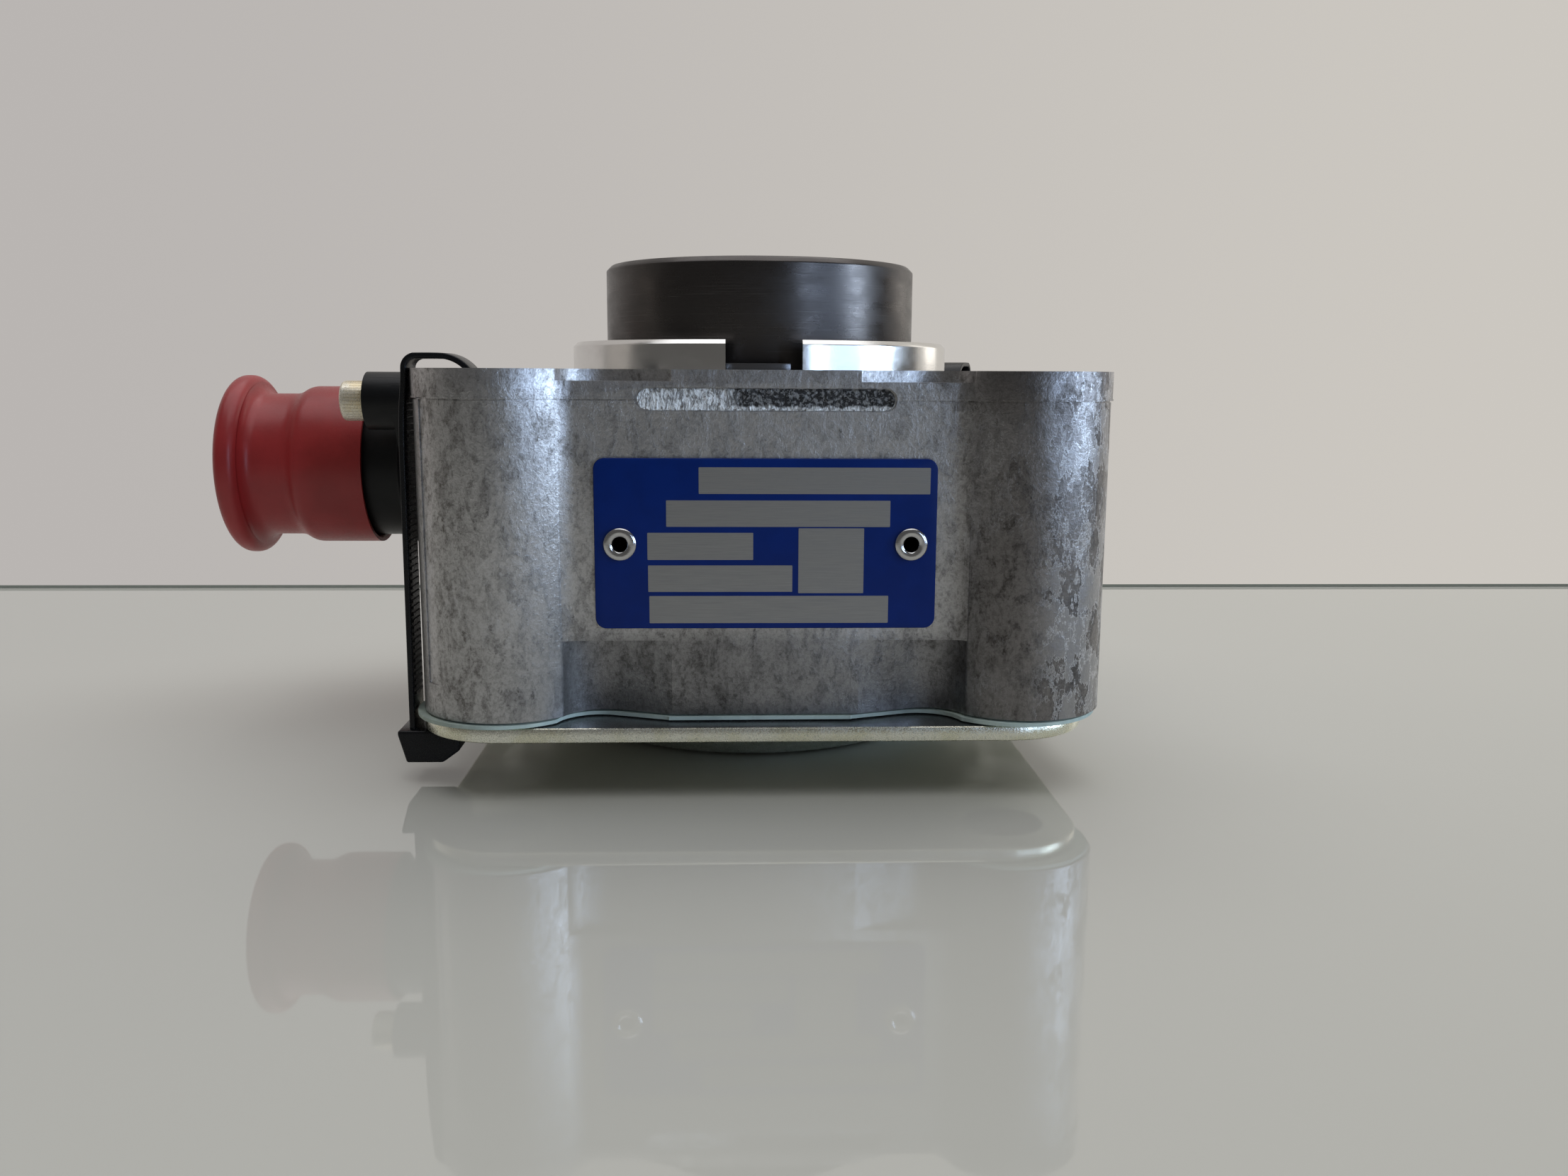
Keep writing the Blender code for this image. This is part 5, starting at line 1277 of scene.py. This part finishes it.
def smooth_path(points, steps=6):
    """A denser path through the same points."""
    made = []
    count = len(points)
    for i in range(count - 1):
        before, here, after, beyond = (Vector(points[max(0, min(count - 1, i + k))]) for k in (-1, 0, 1, 2))
        bend = 2 * before - 5 * here + 4 * after - beyond
        twist = 3 * here - before - 3 * after + beyond
        for step in range(steps):
            t = step / steps
            made.append(0.5 * ((2 * here) + (after - before) * t + bend * t ** 2 + twist * t ** 3))
    made.append(Vector(points[-1]))
    return made


def make_tie(name, side_x, side_y, degrees_out, node_name):
    """A cable tie through a column's bolt hole, around the casting and the cover."""
    angle = radians(degrees_out)
    gap = 0.3 * mm
    half = strap_thickness / 2
    out_top = column_radius + band_proud + gap + half
    out_low = max(max(cover_edge(angle), gasket_edge(angle)) + gap + half, out_top)
    across = strap_width / 2
    hole_room = sqrt(bolt_hole_radius ** 2 - across ** 2) - gap - half
    in_top = hole_room - strap_play
    hole_out = cover_offset * cos(angle)
    hole_aside = abs(cover_offset * sin(angle))
    hole_reach = hole_out + sqrt(cover_hole_radius ** 2 - (across + hole_aside) ** 2)
    in_low = min(hole_reach - gap - half, hole_room)
    top = top_z + loop_rise - half
    rise = loop_rise - half
    bend = strap_bend
    under = dish_depth - gap - half
    turn = half + gap + 0.1 * mm
    head_top = dish_depth - gap
    head_out = out_low + half + head_lip
    ledge = cover_top + 2 * mm
    bow = (out_top + strap_bow, top_z - strap_bow_drop)
    path = [(out_low, head_top - 3 * mm), (out_low, ledge)]
    path += [(out_low + (bow[0] - out_low) * k / 6, ledge + (bow[1] - ledge) * k / 6) for k in range(1, 7)]
    path += [(out_top + 0.7 * strap_bow, top_z - strap_bow_drop / 2),
             (out_top + 0.15 * strap_bow, top_z - 3 * mm)]
    path += arc(out_top - rise, top_z, rise, 0, pi / 2, 6)
    path += arc(in_top + bend, top - bend, bend, pi / 2, pi, 6)
    path += [(in_top, top_z - 8 * mm), ((in_top + in_low) / 2, (top_z - 8 * mm + ledge) / 2), (in_low, ledge)]
    path += arc(in_low + turn, under + turn, turn, pi, 3 * pi / 2, 4)
    path += [(head_out - head_length + 2 * mm, under)]
    origin = Vector((side_x * column, side_y * column, 0))
    out = Vector((cos(angle), sin(angle), 0))
    aside = Vector((-sin(angle), cos(angle), 0))
    ease = 0.35 * mm
    section = []
    for cx, cz, start in ((across - ease, half - ease, 0), (-across + ease, half - ease, pi / 2),
                          (-across + ease, -half + ease, pi), (across - ease, -half + ease, 3 * pi / 2)):
        section += arc(cx, cz, ease, start, start + pi / 2, 3)
    dense = smooth_path([(x, z) for x, z in path], 3)
    work = bmesh.new()
    rings = []
    for i, point in enumerate(dense):
        ahead = dense[min(i + 1, len(dense) - 1)] - dense[max(i - 1, 0)]
        ahead.normalize()
        normal = Vector((ahead.y, -ahead.x))
        ring = []
        for s, t in section:
            flat = point + normal * t
            ring.append(work.verts.new(origin + out * flat.x + aside * s + Vector((0, 0, flat.y))))
        rings.append(ring)
    for low, high in zip(rings, rings[1:]):
        bridge(work, low, high, len(section))
    work.faces.new(rings[0])
    work.faces.new(rings[-1])
    strap = finish_mesh(name, work)

    teeth = []
    pitch = 1.5 * mm
    tooth_depth = 0.28 * mm
    tooth_half = across - 1.4 * mm
    for k in range(44):
        z = ledge + 2 * mm + k * pitch
        share = (z - ledge) / (bow[1] - ledge)
        inner = out_low + (bow[0] - out_low) * min(share, 1) - half
        if share > 1:
            inner -= strap_bow * 0.3 * (share - 1) * (bow[1] - ledge) / (strap_bow_drop / 2)
        low = inner - tooth_depth
        root = inner + 0.2 * mm
        outline = [(root, z), (low, z + 0.25 * mm), (low, z + 0.75 * mm), (root, z + 1.0 * mm)]
        teeth.append(cross_block("tooth", outline, tooth_half, origin, out, aside))
    head = make_tie_head(head_out, head_top, origin, out, aside)
    strap = merge(strap, head, *teeth)
    return dress(strap, "base", "black_plastic", nylon, stands_for=[node_name])


def cross_block(name, outline, half, origin, out, aside):
    """A block whose outline lies in a tie's upright plane, and whose width runs across the strap."""
    work = bmesh.new()
    ends = [[work.verts.new(origin + out * x + aside * s + Vector((0, 0, z))) for x, z in outline]
            for s in (-half, half)]
    work.faces.new(ends[0])
    work.faces.new(ends[1])
    bridge(work, ends[0], ends[1], len(outline))
    return finish_mesh(name, work)


def make_tie_head(head_out, head_top, origin, out, aside):
    """The tie's head: a block that narrows downward."""
    foot = head_top - head_height
    inner = head_out - head_length
    outline = [(head_out, head_top), (head_out, head_top - 1.0 * mm), (head_out - head_taper, foot),
               (head_out - head_taper - head_foot, foot), (inner, foot + head_corner), (inner, head_top)]
    head = cross_block("head", outline, head_width / 2, origin, out, aside)
    return bevel(head, 0.5 * mm, 3, 25)


# Pieces that keep their packed form get a finish only

def finish_kept_nodes():
    finishes = {
        bright: ["drive_bearing_inner_ring", "drive_bearing_outer_ring", "output_bearing_inner_ring",
                 "output_bearing_outer_ring", "upper_screw_bush", "lower_screw_bush"],
        machined: ["bearing_carrier", "shift_piston", "shift_sleeve", "output_shaft", "sensor_plunger"],
        spring_steel: ["carrier_clip", "output_shaft_clip", "return_spring", "shift_sleeve_clip",
                       "drive_sleeve_clip"],
        brass: ["pilot_bush", "connector_pins", "drive_bearing_balls", "output_bearing_balls"],
        rubber: ["carrier_o_ring", "shaft_seal", "piston_outer_ring", "piston_inner_ring", "sensor_o_ring"],
        black_plastic: ["air_port_plug"],
    }
    for finish, names in finishes.items():
        for name in names:
            item = frame["nodes"][name]
            if not item.data.materials:
                item.data.materials.append(finish)
            for index in range(len(item.data.materials)):
                item.data.materials[index] = finish


# Stage, light and camera

def plain_material(name, colour, strength):
    """An even glow, for a backdrop."""
    made = bpy.data.materials.new(name)
    made.use_nodes = True
    tree = made.node_tree
    tree.nodes.clear()
    glow = node(tree, "Emission", Strength=strength)
    glow.inputs["Color"].default_value = (*colour, 1.0)
    out = tree.nodes.new("ShaderNodeOutputMaterial")
    link(tree, glow.outputs[0], out.inputs[0])
    return made, tree, glow


def sheet(name, points, finish):
    work = bmesh.new()
    work.faces.new([work.verts.new(p) for p in points])
    mesh = bpy.data.meshes.new(name)
    work.to_mesh(mesh)
    work.free()
    made = bpy.data.objects.new(name, mesh)
    bpy.context.scene.collection.objects.link(made)
    mesh.materials.append(finish)
    return made


def make_stage():
    table = finish_named("table glass", (0.68, 0.69, 0.645), 0.03, 0.0, IOR=1.6)[0]
    sheet("table", [(-4, -3, 0), (4, -3, 0), (4, table_back, 0), (-4, table_back, 0)], table)
    edge = finish_named("table edge", (0.42, 0.47, 0.44), 0.3)[0]
    glass = 1.2 * mm
    sheet("table_edge", [(-4, table_back, 0), (4, table_back, 0), (4, table_back, glass),
                         (-4, table_back, glass)], edge)
    wall_finish, tree, glow = plain_material("wall", (0.51, 0.482, 0.458), 1.0)
    wall_y = 1.3
    place = place_in_mm(tree)
    split = node(tree, "SeparateXYZ")
    link(tree, place, split.inputs["Vector"])
    # Painted light: the backdrop glows lighter toward the right
    painted_light_rightward = between(tree, split.outputs["X"], -900.0, 1100.0)
    tone = blend_colours(tree, painted_light_rightward, (0.487, 0.463, 0.447), (0.6, 0.572, 0.53))
    link(tree, tone, glow.inputs["Color"])
    sheet("wall", [(-4, wall_y, -2.5), (4, wall_y, -2.5), (4, wall_y, 3), (-4, wall_y, 3)], wall_finish)

    world = bpy.data.worlds.new("room")
    bpy.context.scene.world = world
    world.use_nodes = True
    tree = world.node_tree
    tree.nodes.clear()
    room = node(tree, "Background", Strength=0.1)
    room.inputs["Color"].default_value = (1.0, 0.97, 0.93, 1.0)
    seen = node(tree, "Background", Strength=1.0)
    seen.inputs["Color"].default_value = (0.52, 0.5, 0.48, 1.0)
    path = tree.nodes.new("ShaderNodeLightPath")
    pick = tree.nodes.new("ShaderNodeMixShader")
    out = tree.nodes.new("ShaderNodeOutputWorld")
    link(tree, path.outputs["Is Camera Ray"], pick.inputs[0])
    link(tree, room.outputs[0], pick.inputs[1])
    link(tree, seen.outputs[0], pick.inputs[2])
    link(tree, pick.outputs[0], out.inputs[0])


def lamp(name, place, target, size, power, colour, spread=180):
    data = bpy.data.lights.new(name, "AREA")
    data.shape = "RECTANGLE"
    data.size, data.size_y = size
    data.energy = power
    data.color = colour
    data.spread = radians(spread)
    made = bpy.data.objects.new(name, data)
    made.location = place
    made.rotation_mode = "QUATERNION"
    made.rotation_quaternion = (Vector(target) - Vector(place)).to_track_quat("-Z", "Y")
    bpy.context.scene.collection.objects.link(made)
    return made


def make_lights():
    middle = (0, 0, 0.06)
    windows = [
        lamp("window_right", (1.42, -0.41, 0.33), middle, (0.34, 0.62), 8.5, (0.62, 0.78, 1.0)),
        lamp("window_front_right", (1.31, -0.95, 0.33), middle, (1.0, 0.62), 3.6, (0.5, 0.68, 1.0)),
        lamp("window_strip", (0.86, -1.32, 0.33), middle, (0.1, 0.62), 2.4, (0.55, 0.72, 1.0)),
    ]
    # The windows light the pieces alone, so that the glass table shows no bright panes
    lit = bpy.data.collections.new("lit_pieces")
    for item in bpy.context.scene.objects:
        if item.type == "MESH" and item.name not in ("table", "table_edge", "wall"):
            lit.objects.link(item)
    for window in windows:
        window.light_linking.receiver_collection = lit
    lamp("window_far_right", (1.3, 0.9, 0.6), middle, (0.5, 1.0), 1.4, (1.0, 0.96, 0.9))
    lamp("window_left", (-1.5, 0.1, 0.5), middle, (0.6, 1.2), 0.6, (1.0, 0.92, 0.85))
    lamp("ceiling", (0.1, 0.1, 1.7), middle, (2.2, 2.0), 18.5, (0.98, 0.98, 1.0))


def make_camera():
    data = bpy.data.cameras.new("camera")
    data.sensor_width = 36.0
    data.lens = focal_pixels / photo_width * data.sensor_width
    data.clip_start = 0.01
    camera = bpy.data.objects.new("camera", data)
    upright = Matrix.Rotation(radians(-camera_yaw), 4, "Z")
    tilt = Matrix.Rotation(radians(90 - camera_pitch), 4, "X")
    roll = Matrix.Rotation(radians(-camera_roll), 4, "Z")
    camera.matrix_world = Matrix.Translation(Vector(camera_place)) @ upright @ tilt @ roll
    bpy.context.scene.collection.objects.link(camera)
    bpy.context.scene.camera = camera


make_housing()
make_gate_scar()
make_drive_ring()
make_collar_clip()
make_cover()
make_gasket()
make_sensor()
make_sensor_screws()
make_cap()
make_name_plate()
make_tie("cable_tie_front", -1, -1, 180, "front_cable_tie")
make_tie("cable_tie_rear", 1, 1, rear_tie_angle, "rear_cable_tie")
finish_kept_nodes()
make_stage()
make_lights()
make_camera()
bpy.context.scene.view_settings.view_transform = "Standard"
